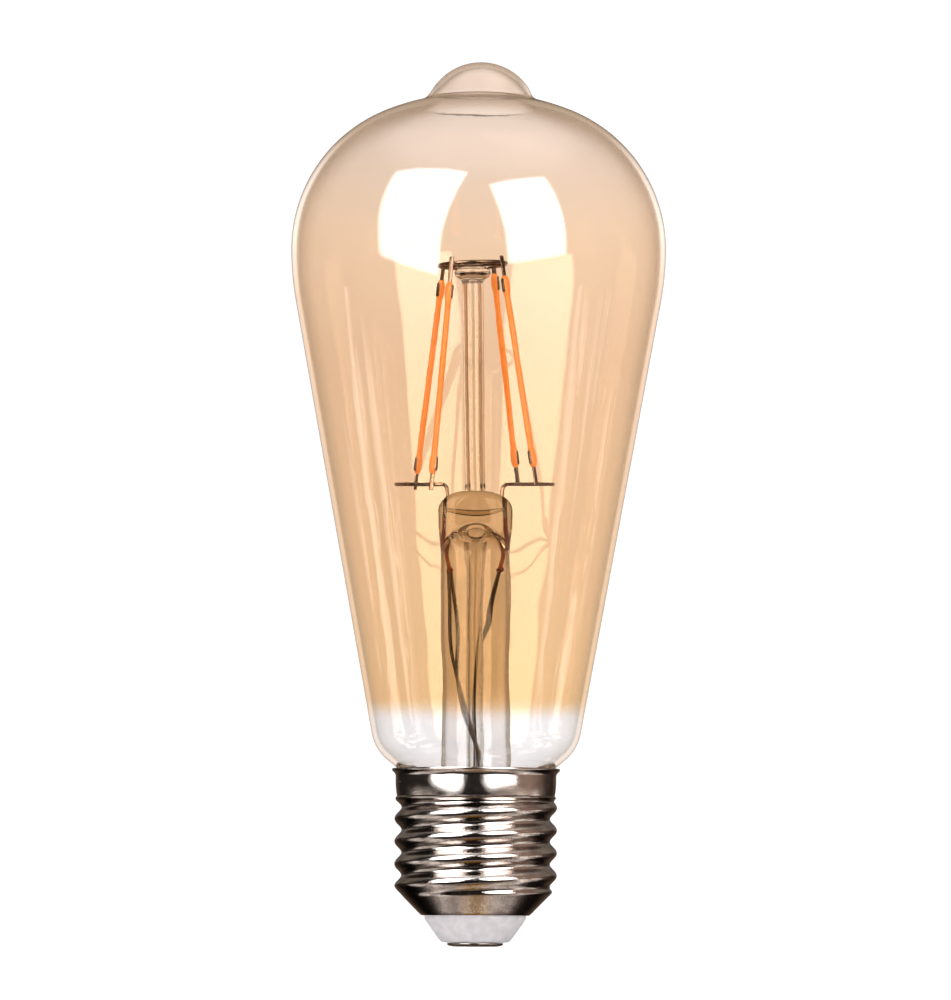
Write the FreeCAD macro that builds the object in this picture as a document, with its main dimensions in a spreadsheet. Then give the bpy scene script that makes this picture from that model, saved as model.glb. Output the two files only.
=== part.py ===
import FreeCAD, Part
import math
import os
import re
import Sketcher
from FreeCAD import Placement, Rotation, Vector

# Amber filament light bulb on an E27 screw cap.
#
# Frame: millimetres, +Z up along the bulb's axis, origin in the middle of the centre contact's face,
# so the bulb stands on its cap. Heights named ..._z are measured from that face. Lengths named ..._r
# are radii. The glass mount (stem, leads, post, ring and filaments) leans a little to -X in the
# envelope, so its pieces are made upright and share one tilted placement.

DIMENSIONS = {
    # glass envelope, outer skin from the tip down to the neck
    "overall_height": 142.6,
    "tip_r": 9.2,
    "tip_blend_r": 2.5,
    "dome_r": 40.4,
    "shoulder_r": 24.0,
    "body_r": 30.2,
    "body_z": 112.3,
    "waist_r": 47.3,
    "body_taper": 10.3,
    "heel_r": 7.2,
    "heel_z": 35.5,
    "throat_angle": 50.0,
    "throat_r": 2.0,
    "neck_r": 11.3,
    "neck_end_z": 19.5,
    "glass_wall": 0.8,
    # mount: the stem and all that stands on it
    "mount_lean": 0.35,
    "board_z": 12.0,
    "board_thick": 1.0,
    "flare_rim_r": 10.45,
    "flare_rim_z": 19.7,
    "flare_top_z": 28.0,
    "stem_r": 5.5,
    "stem_wall": 0.9,
    "press_base_z": 62.0,
    "press_widest_z": 70.0,
    "press_top_z": 73.2,
    "press_half_width": 5.95,
    "press_half_depth": 2.7,
    "cavity_top_z": 64.8,
    "exhaust_r": 1.4,
    "exhaust_bore_r": 0.9,
    "exhaust_flare_r": 2.3,
    "exhaust_tip_z": 24.0,
    "duct_z": 66.6,
    "duct_r": 1.15,
    "post_r": 1.65,
    "post_bore_r": 0.9,
    "post_foot_z": 72.3,
    "post_lean": 0.55,
    "bead_r": 2.9,
    "bead_z": 107.7,
    "bead_top_z": 109.5,
    # metal of the mount
    "ring_r": 5.45,
    "ring_z": 109.8,
    "ring_offset": 0.35,
    "ring_tilt": 2.0,
    "wire_r": 0.3,
    "strand_r": 0.25,
    "arc_r": 12.7,
    "arc_z": 74.3,
    "arc_tilt": 3.6,
    "lead_x": 4.3,
    "lead_corner_r": 1.2,
    "lead_back_y": 10.2,
    "seal_x": 4.6,
    "seal_top_z": 68.8,
    "knot_x": 3.95,
    "knot_z": 60.6,
    "knot_r": 0.55,
    # LED filament, lengths along it from the lower weld
    "coat_start": 1.75,
    "coat_end": 33.55,
    "coat_width": 1.15,
    "coat_depth": 1.05,
    "coat_bevel": 0.3,
    "coat_foot_width": 1.4,
    "coat_foot_depth": 1.2,
    "coat_foot_length": 3.0,
    "carrier_width": 0.8,
    "carrier_thick": 0.25,
    "tab_width": 0.75,
    "tab_insert": 0.8,
    "chip_length": 0.7,
    "chip_width": 0.34,
    "chip_thick": 0.14,
    "chip_pitch": 1.1,
    # screw cap, E27
    "lip_r": 13.5,
    "lip_top_z": 28.55,
    "collar_r": 12.9,
    "collar_end_z": 23.9,
    "sheet_thick": 0.3,
    "thread_pitch": 3.629,
    "thread_mean_r": 12.48,
    "thread_wave": 0.53,
    "thread_peak": 0.05,
    "thread_crest_z": 22.3,
    "thread_end_z": 7.8,
    "cone_r": 9.0,
    "cone_z": 5.3,
    "cone_slope": 0.98,
    "cone_wall": 0.42,
    "shell_edge_z": 5.0,
    "shell_hole_r": 8.2,
    "insulator_top_z": 7.6,
    "insulator_face_z": 0.65,
    "insulator_face_r": 5.1,
    "insulator_foot_r": 5.6,
    "insulator_foot_z": 1.0,
    "insulator_r": 8.14,
    "insulator_side_z": 4.8,
    "insulator_bore_r": 1.2,
    "insulator_hub_r": 2.6,
    "insulator_hub_z": 5.0,
    "insulator_cup_r": 3.5,
    "contact_r": 4.55,
    "contact_face_r": 3.6,
    "cement_foot_r": 10.9,
    "cement_foot_z": 24.3,
    "cement_top_r": 11.6,
    # driver and radio inside the cap
    "board_r": 10.0,
    "pad_pitch": 2.0,
    "pad_y": -1.5,
    "pad_height": 0.4,
    "pad_r": 0.7,
    "capacitor_r": 2.5,
    "capacitor_length": 9.0,
    "capacitor_y": -6.1,
    "inductor_r": 1.9,
    "inductor_height": 4.2,
    "module_thick": 0.8,
    "module_length": 10.0,
    "module_width": 7.0,
    "module_y": 4.0,
    "fuse_r": 1.1,
    "fuse_length": 5.6,
}

FILAMENTS = {
    # name: (angle of the upper weld round the ring, angle of the lower weld round its lead, side,
    #        length of the upper tab past the ring)
    "filament_1": (144.6, 137.9, "left", 0.4),
    "filament_2": (234.6, 238.2, "left", 1.0),
    "filament_3": (54.6, 58.2, "right", 0.4),
    "filament_4": (-35.4, -42.1, "right", 1.0),
}

SIDES = {"left": -1, "right": 1}
LEAD_END_ANGLE = {"left": 246.8, "right": -60.3}
LEAD_BACK_X = {"left": -7.6, "right": 5.8}
COAT_SLIDE = {"left": 0.0, "right": 1.1}
LOWER_OVERRUN = {"left": 0.9, "right": 0.2}

doc = FreeCAD.newDocument("FilamentBulb")
sheet = doc.addObject("Spreadsheet::Sheet", "Dims")
for row, (alias, number) in enumerate(DIMENSIONS.items(), start=1):
    sheet.set(f"A{row}", alias)
    sheet.set(f"B{row}", str(number))
    sheet.setAlias(f"B{row}", alias)
doc.recompute()

ALIAS = re.compile(r"\b(" + "|".join(DIMENSIONS) + r")\b")
nodes = []


# ---------------------------------------------------------------- sheet, sketches and bodies

def bound(expression):
    """The expression with each alias pointed at the sheet."""
    return ALIAS.sub(r"Dims.\1", str(expression))


def value(expression):
    """The number that an expression of aliases stands for."""
    return float(sheet.evalExpression(bound(expression)))


def keep(thing, label):
    """Name a finished piece; its label is also its file's name."""
    thing.Label = label
    nodes.append(thing)
    return thing


def new_body(name, placement=Placement()):
    body = doc.addObject("PartDesign::Body", name)
    body.Placement = placement
    return body


def new_sketch(body, name, role="XZ_Plane", height="0"):
    """A sketch on one of the body's own origin planes, lifted along the plane's normal."""
    sketch = body.newObject("Sketcher::SketchObject", name)
    plane = [feature for feature in body.Origin.OriginFeatures if feature.Role == role][0]
    sketch.AttachmentSupport = (plane, [""])
    sketch.MapMode = "FlatFace"
    sketch.setExpression("AttachmentOffset.Base.z", bound(height))
    return sketch


def bind(sketch, kind, expression, *where, start=None):
    """Add a dimension to the sketch and tie it to the sheet."""
    first = value(expression) if start is None else start
    index = sketch.addConstraint(Sketcher.Constraint(kind, *where, first))
    sketch.setExpression(f"Constraints[{index}]", bound(expression))


def polygon(sketch, corners):
    """Closed outline whose every corner is held at two expressions of the sheet."""
    points = [Vector(value(across), value(up), 0) for across, up in corners]
    count = len(points)
    lines = [
        sketch.addGeometry(Part.LineSegment(points[i], points[(i + 1) % count]), False)
        for i in range(count)
    ]
    for i in range(count):
        sketch.addConstraint(Sketcher.Constraint("Coincident", lines[i], 2, lines[(i + 1) % count], 1))
    for line, (across, up) in zip(lines, corners):
        bind(sketch, "DistanceX", across, -1, 1, line, 1)
        bind(sketch, "DistanceY", up, -1, 1, line, 1)


def revolve(body, sketch):
    feature = body.newObject("PartDesign::Revolution", body.Name + "_turn")
    feature.Profile = sketch
    feature.ReferenceAxis = (sketch, ["V_Axis"])
    feature.Angle = 360
    sketch.Visibility = False
    return feature


def turned(name, corners, placement=Placement()):
    """Body of revolution about Z; corners are (radius, height)."""
    body = new_body(name, placement)
    sketch = new_sketch(body, name + "_outline")
    polygon(sketch, corners)
    revolve(body, sketch)
    return body


def add_pad(body, name, corners, length, height="0"):
    sketch = new_sketch(body, name + "_outline", "XY_Plane", height)
    polygon(sketch, corners)
    pad = body.newObject("PartDesign::Pad", name)
    pad.Profile = sketch
    pad.setExpression("Length", bound(length))
    return pad


def box(name, length, width, height, placement=Placement(), centre=(0, 0)):
    """Upright block: its middle stands over the centre point, its foot at the placement."""
    block = doc.addObject("Part::Box", name)
    for side, expression in (("Length", length), ("Width", width), ("Height", height)):
        block.setExpression(side, bound(expression))
    corner = Vector(value(centre[0]) - value(length) / 2, value(centre[1]) - value(width) / 2, 0)
    block.Placement = placement * Placement(corner, Rotation())
    return block


def cylinder(name, radius, height, placement=Placement()):
    rod = doc.addObject("Part::Cylinder", name)
    rod.setExpression("Radius", bound(radius))
    rod.setExpression("Height", bound(height))
    rod.Placement = placement
    return rod


def cut(name, base, *tools):
    """The base less each tool in turn; the last cut is the finished piece."""
    for number, tool in enumerate(tools, start=1):
        step = doc.addObject("Part::Cut", f"{name}_cut_{number}")
        step.Base = base
        step.Tool = tool
        base = step
    return base


def fuse(name, *pieces):
    union = doc.addObject("Part::MultiFuse", name)
    union.Shapes = list(pieces)
    return union


def feature_of(name, shape, placement=Placement()):
    thing = doc.addObject("Part::Feature", name)
    thing.Shape = shape
    thing.Placement = placement
    return thing


def at_height(expression, x="0", y="0"):
    return Placement(Vector(value(x), value(y), value(expression)), Rotation())


# ---------------------------------------------------------------- wires

def bent_edges(points):
    """Straight runs between the points, joined by tangent arcs as large as the runs allow."""
    edges = []
    run_start = points[0]
    for before, corner, after in zip(points, points[1:], points[2:]):
        back = before - corner
        ahead = after - corner
        reach = 0.45 * min(back.Length, ahead.Length)
        half_turn = (math.pi - back.getAngle(ahead)) / 2
        radius = reach / math.tan(half_turn)
        back.normalize()
        ahead.normalize()
        inward = back + ahead
        inward.normalize()
        arc_start = corner + back * reach
        arc_end = corner + ahead * reach
        arc_middle = corner + inward * (math.hypot(radius, reach) - radius)
        edges.append(Part.LineSegment(run_start, arc_start).toShape())
        edges.append(Part.Arc(arc_start, arc_middle, arc_end).toShape())
        run_start = arc_end
    edges.append(Part.LineSegment(run_start, points[-1]).toShape())
    return edges


def wire_along(edges, radius, label):
    """Round wire swept along the edges, with its volume held against section times length."""
    path = Part.Wire(edges)
    first = edges[0]
    direction = first.tangentAt(first.FirstParameter)
    section = Part.Wire(Part.makeCircle(radius, first.valueAt(first.FirstParameter), direction))
    solid = path.makePipeShell([section], True, False)
    expected = math.pi * radius ** 2 * path.Length
    if abs(solid.Volume / expected - 1) > 0.02:
        raise ValueError(f"{label}: swept volume {solid.Volume:.3f}, expected {expected:.3f}")
    return solid


# ---------------------------------------------------------------- glass envelope

def unit(vector):
    return vector / vector.Length


def envelope_geometry():
    """Centres and directions shared by the envelope's outer and inner skins."""
    taper = math.radians(value("body_taper"))
    throat = math.radians(value("throat_angle"))
    cone_out = Vector(math.cos(taper), -math.sin(taper), 0)
    cone_down = Vector(-math.sin(taper), -math.cos(taper), 0)
    throat_out = Vector(math.cos(throat), -math.sin(throat), 0)
    throat_down = Vector(-math.sin(throat), -math.cos(throat), 0)
    body_r, body_z = value("body_r"), value("body_z")
    shoulder = Vector(body_r - value("shoulder_r"), body_z, 0)
    waist = Vector(body_r - value("waist_r"), body_z, 0)
    rise = math.sqrt((value("dome_r") - value("shoulder_r")) ** 2 - shoulder.x ** 2)
    dome = Vector(0, body_z - rise, 0)
    tip = Vector(0, value("overall_height - tip_r"), 0)
    to_tip = value("tip_r + tip_blend_r")
    to_dome = value("dome_r + tip_blend_r")
    gap = tip.y - dome.y
    up = (to_dome ** 2 - to_tip ** 2 + gap ** 2) / (2 * gap)
    blend = Vector(math.sqrt(to_dome ** 2 - up ** 2), dome.y + up, 0)
    heel = waist + cone_out * value("waist_r - heel_r")
    heel = heel + cone_down * ((heel.y - value("heel_z")) / math.cos(taper))
    bend = heel + throat_out * value("heel_r + throat_r")
    bend = bend + throat_down * ((bend.x - value("neck_r + throat_r")) / math.sin(throat))
    return tip, blend, dome, shoulder, waist, heel, bend, cone_out, throat_out


def envelope_skin(sketch, wall):
    """One skin from the tip to the neck's end: arcs and lines, each tangent to the next."""
    tip, blend, dome, shoulder, waist, heel, bend, cone_out, throat_out = envelope_geometry()
    inset = value(wall)
    radius = {name: value(name) - inset for name in ("tip_r", "dome_r", "shoulder_r", "waist_r", "heel_r")}
    hollow = {name: value(name) + inset for name in ("tip_blend_r", "throat_r")}
    points = [
        Vector(0, value("overall_height") - inset, 0),
        tip + unit(blend - tip) * radius["tip_r"],
        blend + unit(dome - blend) * hollow["tip_blend_r"],
        dome + unit(shoulder - dome) * radius["dome_r"],
        shoulder + Vector(radius["shoulder_r"], 0, 0),
        waist + cone_out * radius["waist_r"],
        heel + cone_out * radius["heel_r"],
        heel + throat_out * radius["heel_r"],
        bend - throat_out * hollow["throat_r"],
        bend - Vector(hollow["throat_r"], 0, 0),
        Vector(value("neck_r") - inset, value("neck_end_z"), 0),
    ]
    convex = {0: (tip, "tip_r"), 2: (dome, "dome_r"), 3: (shoulder, "shoulder_r"),
              4: (waist, "waist_r"), 6: (heel, "heel_r")}
    concave = {1: (blend, "tip_blend_r"), 8: (bend, "throat_r")}
    chain = []
    for i, (upper, lower) in enumerate(zip(points, points[1:])):
        if i in convex:
            centre, name = convex[i]
            curve = Part.Circle(centre, Vector(0, 0, 1), radius[name])
            arc = Part.ArcOfCircle(curve, curve.parameter(lower), curve.parameter(upper))
            edge = sketch.addGeometry(arc, False)
            bind(sketch, "Radius", f"{name} - {wall}", edge)
            chain.append((edge, 2, 1))
        elif i in concave:
            centre, name = concave[i]
            curve = Part.Circle(centre, Vector(0, 0, 1), hollow[name])
            arc = Part.ArcOfCircle(curve, curve.parameter(upper), curve.parameter(lower))
            edge = sketch.addGeometry(arc, False)
            bind(sketch, "Radius", f"{name} + {wall}", edge)
            chain.append((edge, 1, 2))
        else:
            edge = sketch.addGeometry(Part.LineSegment(lower, upper), False)
            chain.append((edge, 2, 1))
    for (edge, _, foot), (next_edge, head, _) in zip(chain, chain[1:]):
        sketch.addConstraint(Sketcher.Constraint("Tangent", edge, foot, next_edge, head))
    tip_arc, _, dome_arc, shoulder_arc, waist_arc, cone, heel_arc, throat_line, _, neck = \
        [edge for edge, _, _ in chain]
    centre_point, start_point, end_point = 3, 1, 2
    sketch.addConstraint(Sketcher.Constraint("PointOnObject", tip_arc, centre_point, -2))
    sketch.addConstraint(Sketcher.Constraint("PointOnObject", tip_arc, end_point, -2))
    sketch.addConstraint(Sketcher.Constraint("PointOnObject", dome_arc, centre_point, -2))
    bind(sketch, "DistanceY", f"overall_height - {wall}", -1, 1, tip_arc, end_point)
    bind(sketch, "DistanceX", "body_r - shoulder_r", -1, 1, shoulder_arc, centre_point)
    bind(sketch, "DistanceY", "body_z", -1, 1, shoulder_arc, centre_point)
    bind(sketch, "DistanceY", "body_z", -1, 1, waist_arc, centre_point)
    bind(sketch, "DistanceY", "heel_z", -1, 1, heel_arc, centre_point)
    bind(sketch, "Angle", "90 - body_taper", cone, start=math.radians(90 - value("body_taper")))
    bind(sketch, "Angle", "90 - throat_angle", throat_line,
         start=math.radians(90 - value("throat_angle")))
    sketch.addConstraint(Sketcher.Constraint("Vertical", neck))
    bind(sketch, "DistanceX", f"neck_r - {wall}", -1, 1, neck, start_point)
    bind(sketch, "DistanceY", "neck_end_z", -1, 1, neck, start_point)
    return (tip_arc, end_point, points[0]), (neck, start_point, points[-1])


def make_envelope():
    body = new_body("envelope")
    sketch = new_sketch(body, "envelope_outline")
    outer_ends = envelope_skin(sketch, "0")
    inner_ends = envelope_skin(sketch, "glass_wall")
    for (outer, outer_end, outer_point), (inner, inner_end, inner_point) in zip(outer_ends, inner_ends):
        edge = sketch.addGeometry(Part.LineSegment(outer_point, inner_point), False)
        sketch.addConstraint(Sketcher.Constraint("Coincident", edge, 1, outer, outer_end))
        sketch.addConstraint(Sketcher.Constraint("Coincident", edge, 2, inner, inner_end))
    revolve(body, sketch)
    return keep(body, "glass_envelope")


# ---------------------------------------------------------------- stem, exhaust tube, post

def press_section(height):
    """Closed outline of the pinched press at one height: a circle flattening to a rounded slot."""
    base, widest, top = value("press_base_z"), value("press_widest_z"), value("press_top_z")
    pinch = min(1.0, (height - base) / (widest - 2.0 - base))
    ease = pinch * pinch * (3 - 2 * pinch)
    half_width = value("stem_r") + (value("press_half_width") - value("stem_r")) * ease
    half_depth = value("stem_r") + (value("press_half_depth") - value("stem_r")) * ease
    if height > widest:
        crown = math.sqrt(max(0.0, 1 - ((height - widest) / (top - widest)) ** 2))
        half_width *= 0.25 + 0.75 * crown
        half_depth *= 0.45 + 0.55 * crown
    square = 1 + 0.25 * ease
    points = []
    for step in range(24):
        angle = 2 * math.pi * step / 24
        across, deep = math.cos(angle), math.sin(angle)
        x = math.copysign(abs(across) ** (1 / square), across) * half_width
        y = math.copysign(abs(deep) ** (1 / square), deep) * half_depth
        points.append(Vector(x, y, height))
    curve = Part.BSplineCurve()
    curve.interpolate(points, PeriodicFlag=True)
    return Part.Wire(curve.toShape())


def make_stem(mount, channels):
    """Flare tube and press in one glass piece, with channels where the metal and tubes pass."""
    outer = turned("stem_outer", [
        ("0", "flare_rim_z"),
        ("flare_rim_r", "flare_rim_z"),
        ("flare_rim_r", "flare_rim_z + 1"),
        ("flare_rim_r - 0.6", "flare_rim_z + 1.5"),
        ("stem_r", "flare_top_z"),
        ("stem_r", "press_base_z"),
        ("0", "press_base_z"),
    ], mount)
    base, widest, top = value("press_base_z"), value("press_widest_z"), value("press_top_z")
    heights = [base, base + 2.0, base + 4.0, widest - 2.0, widest, widest + 1.4, widest + 2.4, top]
    press = feature_of("press_blank", Part.makeLoft([press_section(z) for z in heights], True, False), mount)
    cavity = turned("stem_cavity", [
        ("0", "flare_rim_z - 1"),
        ("flare_rim_r - 0.9", "flare_rim_z - 1"),
        ("flare_rim_r - 0.9", "flare_rim_z + 0.7"),
        ("stem_r - stem_wall", "flare_top_z + 0.6"),
        ("stem_r - stem_wall", "press_base_z"),
        ("stem_r - stem_wall - 0.5", "cavity_top_z - 1.2"),
        ("exhaust_flare_r + 0.6", "cavity_top_z - 0.2"),
        ("exhaust_flare_r", "cavity_top_z"),
        ("0", "cavity_top_z"),
    ], mount)
    duct = cylinder("duct_up", "exhaust_bore_r", "duct_z - cavity_top_z + 0.6",
                    mount * at_height("cavity_top_z - 0.1"))
    forward = Rotation(Vector(1, 0, 0), 90)
    vent = cylinder("duct_front", "duct_r", "stem_r + 1",
                    mount * Placement(Vector(0, 0, value("duct_z")), forward))
    glass = fuse("stem_blank", outer, press)
    return keep(cut("stem", glass, cavity, duct, vent, *channels), "stem_glass")


def make_exhaust_tube(mount):
    return keep(turned("exhaust", [
        ("0", "exhaust_tip_z"),
        ("exhaust_r / 2", "exhaust_tip_z + 0.1"),
        ("exhaust_r - 0.2", "exhaust_tip_z + 0.5"),
        ("exhaust_r", "exhaust_tip_z + 1.2"),
        ("exhaust_r", "cavity_top_z - 3.6"),
        ("exhaust_r + 0.25", "cavity_top_z - 1.4"),
        ("exhaust_flare_r", "cavity_top_z"),
        ("exhaust_flare_r - 0.6", "cavity_top_z"),
        ("exhaust_bore_r + 0.15", "cavity_top_z - 1.6"),
        ("exhaust_bore_r", "cavity_top_z - 3.6"),
        ("exhaust_bore_r", "exhaust_tip_z + 1.6"),
        ("0", "exhaust_tip_z + 1.0"),
    ], mount), "exhaust_tube")


def make_post_blank(mount):
    """Centre tube whose upper end is squashed into a bead."""
    foot = Placement(Vector(0, 0, value("post_foot_z")), Rotation(Vector(0, 1, 0), -value("post_lean")))
    upright = foot * Placement(Vector(0, 0, -value("post_foot_z")), Rotation())
    return turned("post_blank", [
        ("post_bore_r", "post_foot_z"),
        ("post_r", "post_foot_z"),
        ("post_r", "bead_z - 0.5"),
        ("bead_r - 0.2", "bead_z + 0.1"),
        ("bead_r", "bead_z + 0.5"),
        ("bead_r", "bead_top_z - 0.5"),
        ("bead_r - 0.3", "bead_top_z - 0.1"),
        ("bead_r - 0.8", "bead_top_z"),
        ("0", "bead_top_z"),
        ("0", "bead_z + 0.5"),
        ("post_bore_r", "bead_z - 0.3"),
    ], mount * upright)


# ---------------------------------------------------------------- metal of the mount

def ring_placement():
    tilt = Rotation(Vector(0, 1, 0), -value("ring_tilt"))
    return Placement(Vector(-value("ring_offset"), 0, value("ring_z")), tilt)


def make_ring(mount):
    ring = doc.addObject("Part::Torus", "ring")
    ring.setExpression("Radius1", bound("ring_r"))
    ring.setExpression("Radius2", bound("wire_r"))
    ring.Placement = mount * ring_placement()
    return keep(ring, "top_ring")


def make_crossbar(mount, ring):
    start = Placement(Vector(-value("ring_r"), 0, 0), Rotation(Vector(0, 1, 0), 90))
    blank = cylinder("crossbar_blank", "wire_r", "2 * ring_r", mount * ring_placement() * start)
    return keep(cut("crossbar", blank, ring), "ring_crossbar")


def on_circle(radius, degrees, height):
    angle = math.radians(degrees)
    return Vector(radius * math.cos(angle), radius * math.sin(angle), height)


def arc_plane():
    """Level of the two wide arcs, raised a little at the back."""
    return Placement(Vector(0, 0, value("arc_z")), Rotation(Vector(1, 0, 0), value("arc_tilt")))


def make_inner_lead(mount, side):
    """Wire up out of the press, bent to the back, round a tight corner and forward along a wide arc."""
    sign = SIDES[side]
    lead_x, corner_r, arc_r = (value(name) for name in ("lead_x", "lead_corner_r", "arc_r"))
    start = Vector(sign * lead_x, 0, 0)
    run = unit(Vector(LEAD_BACK_X[side], value("lead_back_y"), 0) - start)
    outward = Vector(sign * run.y, -sign * run.x, 0)
    base = start + outward * corner_r
    advance = base.dot(run)
    length = math.sqrt(advance ** 2 - base.dot(base) + (arc_r - corner_r) ** 2) - advance
    run_end = start + run * length
    corner_centre = run_end + outward * corner_r
    corner_middle = corner_centre + unit(unit(corner_centre) - outward) * corner_r
    arc_start = unit(corner_centre) * arc_r
    arc_start_angle = math.degrees(math.atan2(arc_start.y, arc_start.x))
    arc_middle = on_circle(arc_r, (arc_start_angle + LEAD_END_ANGLE[side]) / 2, 0)
    arc_end = on_circle(arc_r, LEAD_END_ANGLE[side], 0)
    lift = arc_plane().multVec
    edges = bent_edges([
        Vector(sign * value("seal_x"), 0, value("seal_top_z")),
        lift(start),
        lift(run_end),
    ])
    edges.append(Part.Arc(lift(run_end), lift(corner_middle), lift(arc_start)).toShape())
    edges.append(Part.Arc(lift(arc_start), lift(arc_middle), lift(arc_end)).toShape())
    label = side + "_inner_lead"
    return keep(feature_of(label, wire_along(edges, value("wire_r"), label), mount), label)


def make_weld_knot(mount, side):
    knot = doc.addObject("Part::Sphere", side + "_knot")
    knot.setExpression("Radius", bound("knot_r"))
    knot.Placement = mount * at_height("knot_z", f"{SIDES[side]} * knot_x")
    return keep(knot, side + "_weld_knot")


def trimmed_wire(label, points, radius, mount, *tools):
    """Wire through the points, ending flush on the pieces that it is welded to."""
    blank = feature_of(label + "_blank", wire_along(bent_edges(points), value(radius), label), mount)
    return keep(cut(label, blank, *tools), label)


def make_seal_wire(mount, side, knot, lead):
    sign = SIDES[side]
    points = [
        Vector(sign * value("seal_x"), 0, value("seal_top_z")),
        Vector(sign * value("seal_x"), 0, value("seal_top_z") - 3.4),
        Vector(sign * value("knot_x"), 0, value("knot_z") + 0.3),
    ]
    return trimmed_wire(side + "_dumet_wire", points, "wire_r", mount, knot, lead)


def pad_foot(place):
    """Top of the solder pad that is so many pitches from the board's middle."""
    x = place * value("pad_pitch")
    return Vector(x, value("pad_y"), value("board_z + board_thick + pad_height"))


def make_strand_solder():
    """Cone of solder on the board under each outer strand."""
    foot_drop = Vector(0, 0, value("pad_height"))
    cones = [
        Part.makeCone(value("pad_r"), value("strand_r"), value("pad_height"), pad_foot(place) - foot_drop)
        for place in (-1, 0, 1, 2)
    ]
    return keep(feature_of("strand_solder", Part.makeCompound(cones)), "strand_solder")


def make_outer_strands(mount, knots, solder):
    """Two flexible strands from each weld knot, down the flare tube and on to the driver board."""
    routes = {
        "left_outer_strand_a": ("left", 0, [
            (-4.1, -0.25, 60.4), (-3.85, -0.9, 55), (-3.9, -1.0, 48.5), (-3.0, -1.8, 43.7),
            (-1.7, -2.5, 38.9), (0.9, -2.6, 29.5), (1.2, -2.2, 22)]),
        "left_outer_strand_b": ("left", 1, [
            (-3.8, 0.25, 60.4), (-2.8, -0.5, 53.2), (-2.6, -0.6, 49.7), (-3.0, -0.9, 43.7),
            (-2.05, -1.5, 37.9), (-0.3, -1.85, 33.1), (1.6, -1.75, 28), (2.2, -1.6, 22)]),
        "right_outer_strand_a": ("right", -1, [
            (3.85, -0.25, 60.4), (2.45, 0.9, 55), (2.1, 1.4, 51.6), (0.75, 1.95, 49.0),
            (0.1, 2.0, 44.5), (-0.7, 1.9, 37.3), (-0.05, 1.9, 29), (-1.0, 1.6, 22)]),
        "right_outer_strand_b": ("right", 2, [
            (3.85, 0.4, 60.4), (2.65, 1.5, 55), (2.35, 2.0, 51.6), (1.0, 2.6, 49.0),
            (0.4, 2.7, 44.5), (-0.25, 2.6, 37.3), (0.6, 2.5, 29), (1.2, 2.2, 22)]),
    }
    for label, (side, pad, route) in routes.items():
        points = [Vector(*point) for point in route] + [pad_foot(pad)]
        trimmed_wire(label, points, "strand_r", mount, knots[side], solder)


# ---------------------------------------------------------------- LED filaments

def filament_placement(name):
    """Frame of one filament: Z up along it from its lower weld, X away from the bulb's axis."""
    upper_angle, lower_angle = FILAMENTS[name][:2]
    stand_off = value("wire_r + carrier_thick / 2")
    lower = arc_plane().multVec(on_circle(value("arc_r") + stand_off, lower_angle, 0))
    upper = ring_placement().multVec(on_circle(value("ring_r") + stand_off, upper_angle, 0))
    along = unit(upper - lower)
    outward = unit(Vector(lower.x, lower.y, 0))
    return Placement(lower, Rotation(outward, Vector(), along, "ZXY")), (upper - lower).Length


def bevelled(depth, width, bevel):
    corners = []
    for x_sign, y_sign in (("-", "-"), ("", "-"), ("", ""), ("-", "")):
        along_side = (f"{x_sign}({depth}) / 2", f"{y_sign}(({width}) / 2 - {bevel})")
        along_end = (f"{x_sign}(({depth}) / 2 - {bevel})", f"{y_sign}({width}) / 2")
        first_end = x_sign == y_sign
        corners += [along_side, along_end] if first_end else [along_end, along_side]
    return corners


def make_coat(name, frame):
    """Translucent coat: a bevelled bar with wider feet, hollow where the carrier and chips lie."""
    body = new_body(name + "_coat", frame)
    add_pad(body, name + "_bar", bevelled("coat_depth", "coat_width", "coat_bevel"),
            "coat_end - coat_start", "coat_start")
    for end, height in (("lower", "coat_start"), ("upper", "coat_end - coat_foot_length")):
        add_pad(body, f"{name}_{end}_foot",
                bevelled("coat_foot_depth", "coat_foot_width", "coat_bevel"), "coat_foot_length", height)
    channel = new_sketch(body, name + "_channel_outline", "XY_Plane", "coat_start")
    face = "carrier_thick / 2"
    polygon(channel, [
        ("-" + face, "-carrier_width / 2"),
        (face, "-carrier_width / 2"),
        (face, "-chip_width / 2"),
        (face + " + chip_thick", "-chip_width / 2"),
        (face + " + chip_thick", "chip_width / 2"),
        (face, "chip_width / 2"),
        (face, "carrier_width / 2"),
        ("-" + face, "carrier_width / 2"),
    ])
    pocket = body.newObject("PartDesign::Pocket", name + "_channel")
    pocket.Profile = channel
    pocket.Reversed = True
    pocket.setExpression("Length", bound("coat_end - coat_start"))
    return keep(body, name + "_phosphor_coat")


def make_chips(name, frame):
    """Row of LED chips on the carrier's outer face."""
    start, end = value("coat_start + tab_insert + 0.6"), value("coat_end - tab_insert - 0.6")
    size = [value(part) for part in ("chip_thick", "chip_width", "chip_length")]
    pitch = value("chip_pitch")
    count = int((end - start - size[2]) / pitch) + 1
    first = (start + end - (count - 1) * pitch - size[2]) / 2
    chips = [
        Part.makeBox(*size, Vector(value("carrier_thick / 2"), -size[1] / 2, first + i * pitch))
        for i in range(count)
    ]
    return keep(feature_of(name + "_chips", Part.makeCompound(chips), frame), name + "_led_chips")


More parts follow.
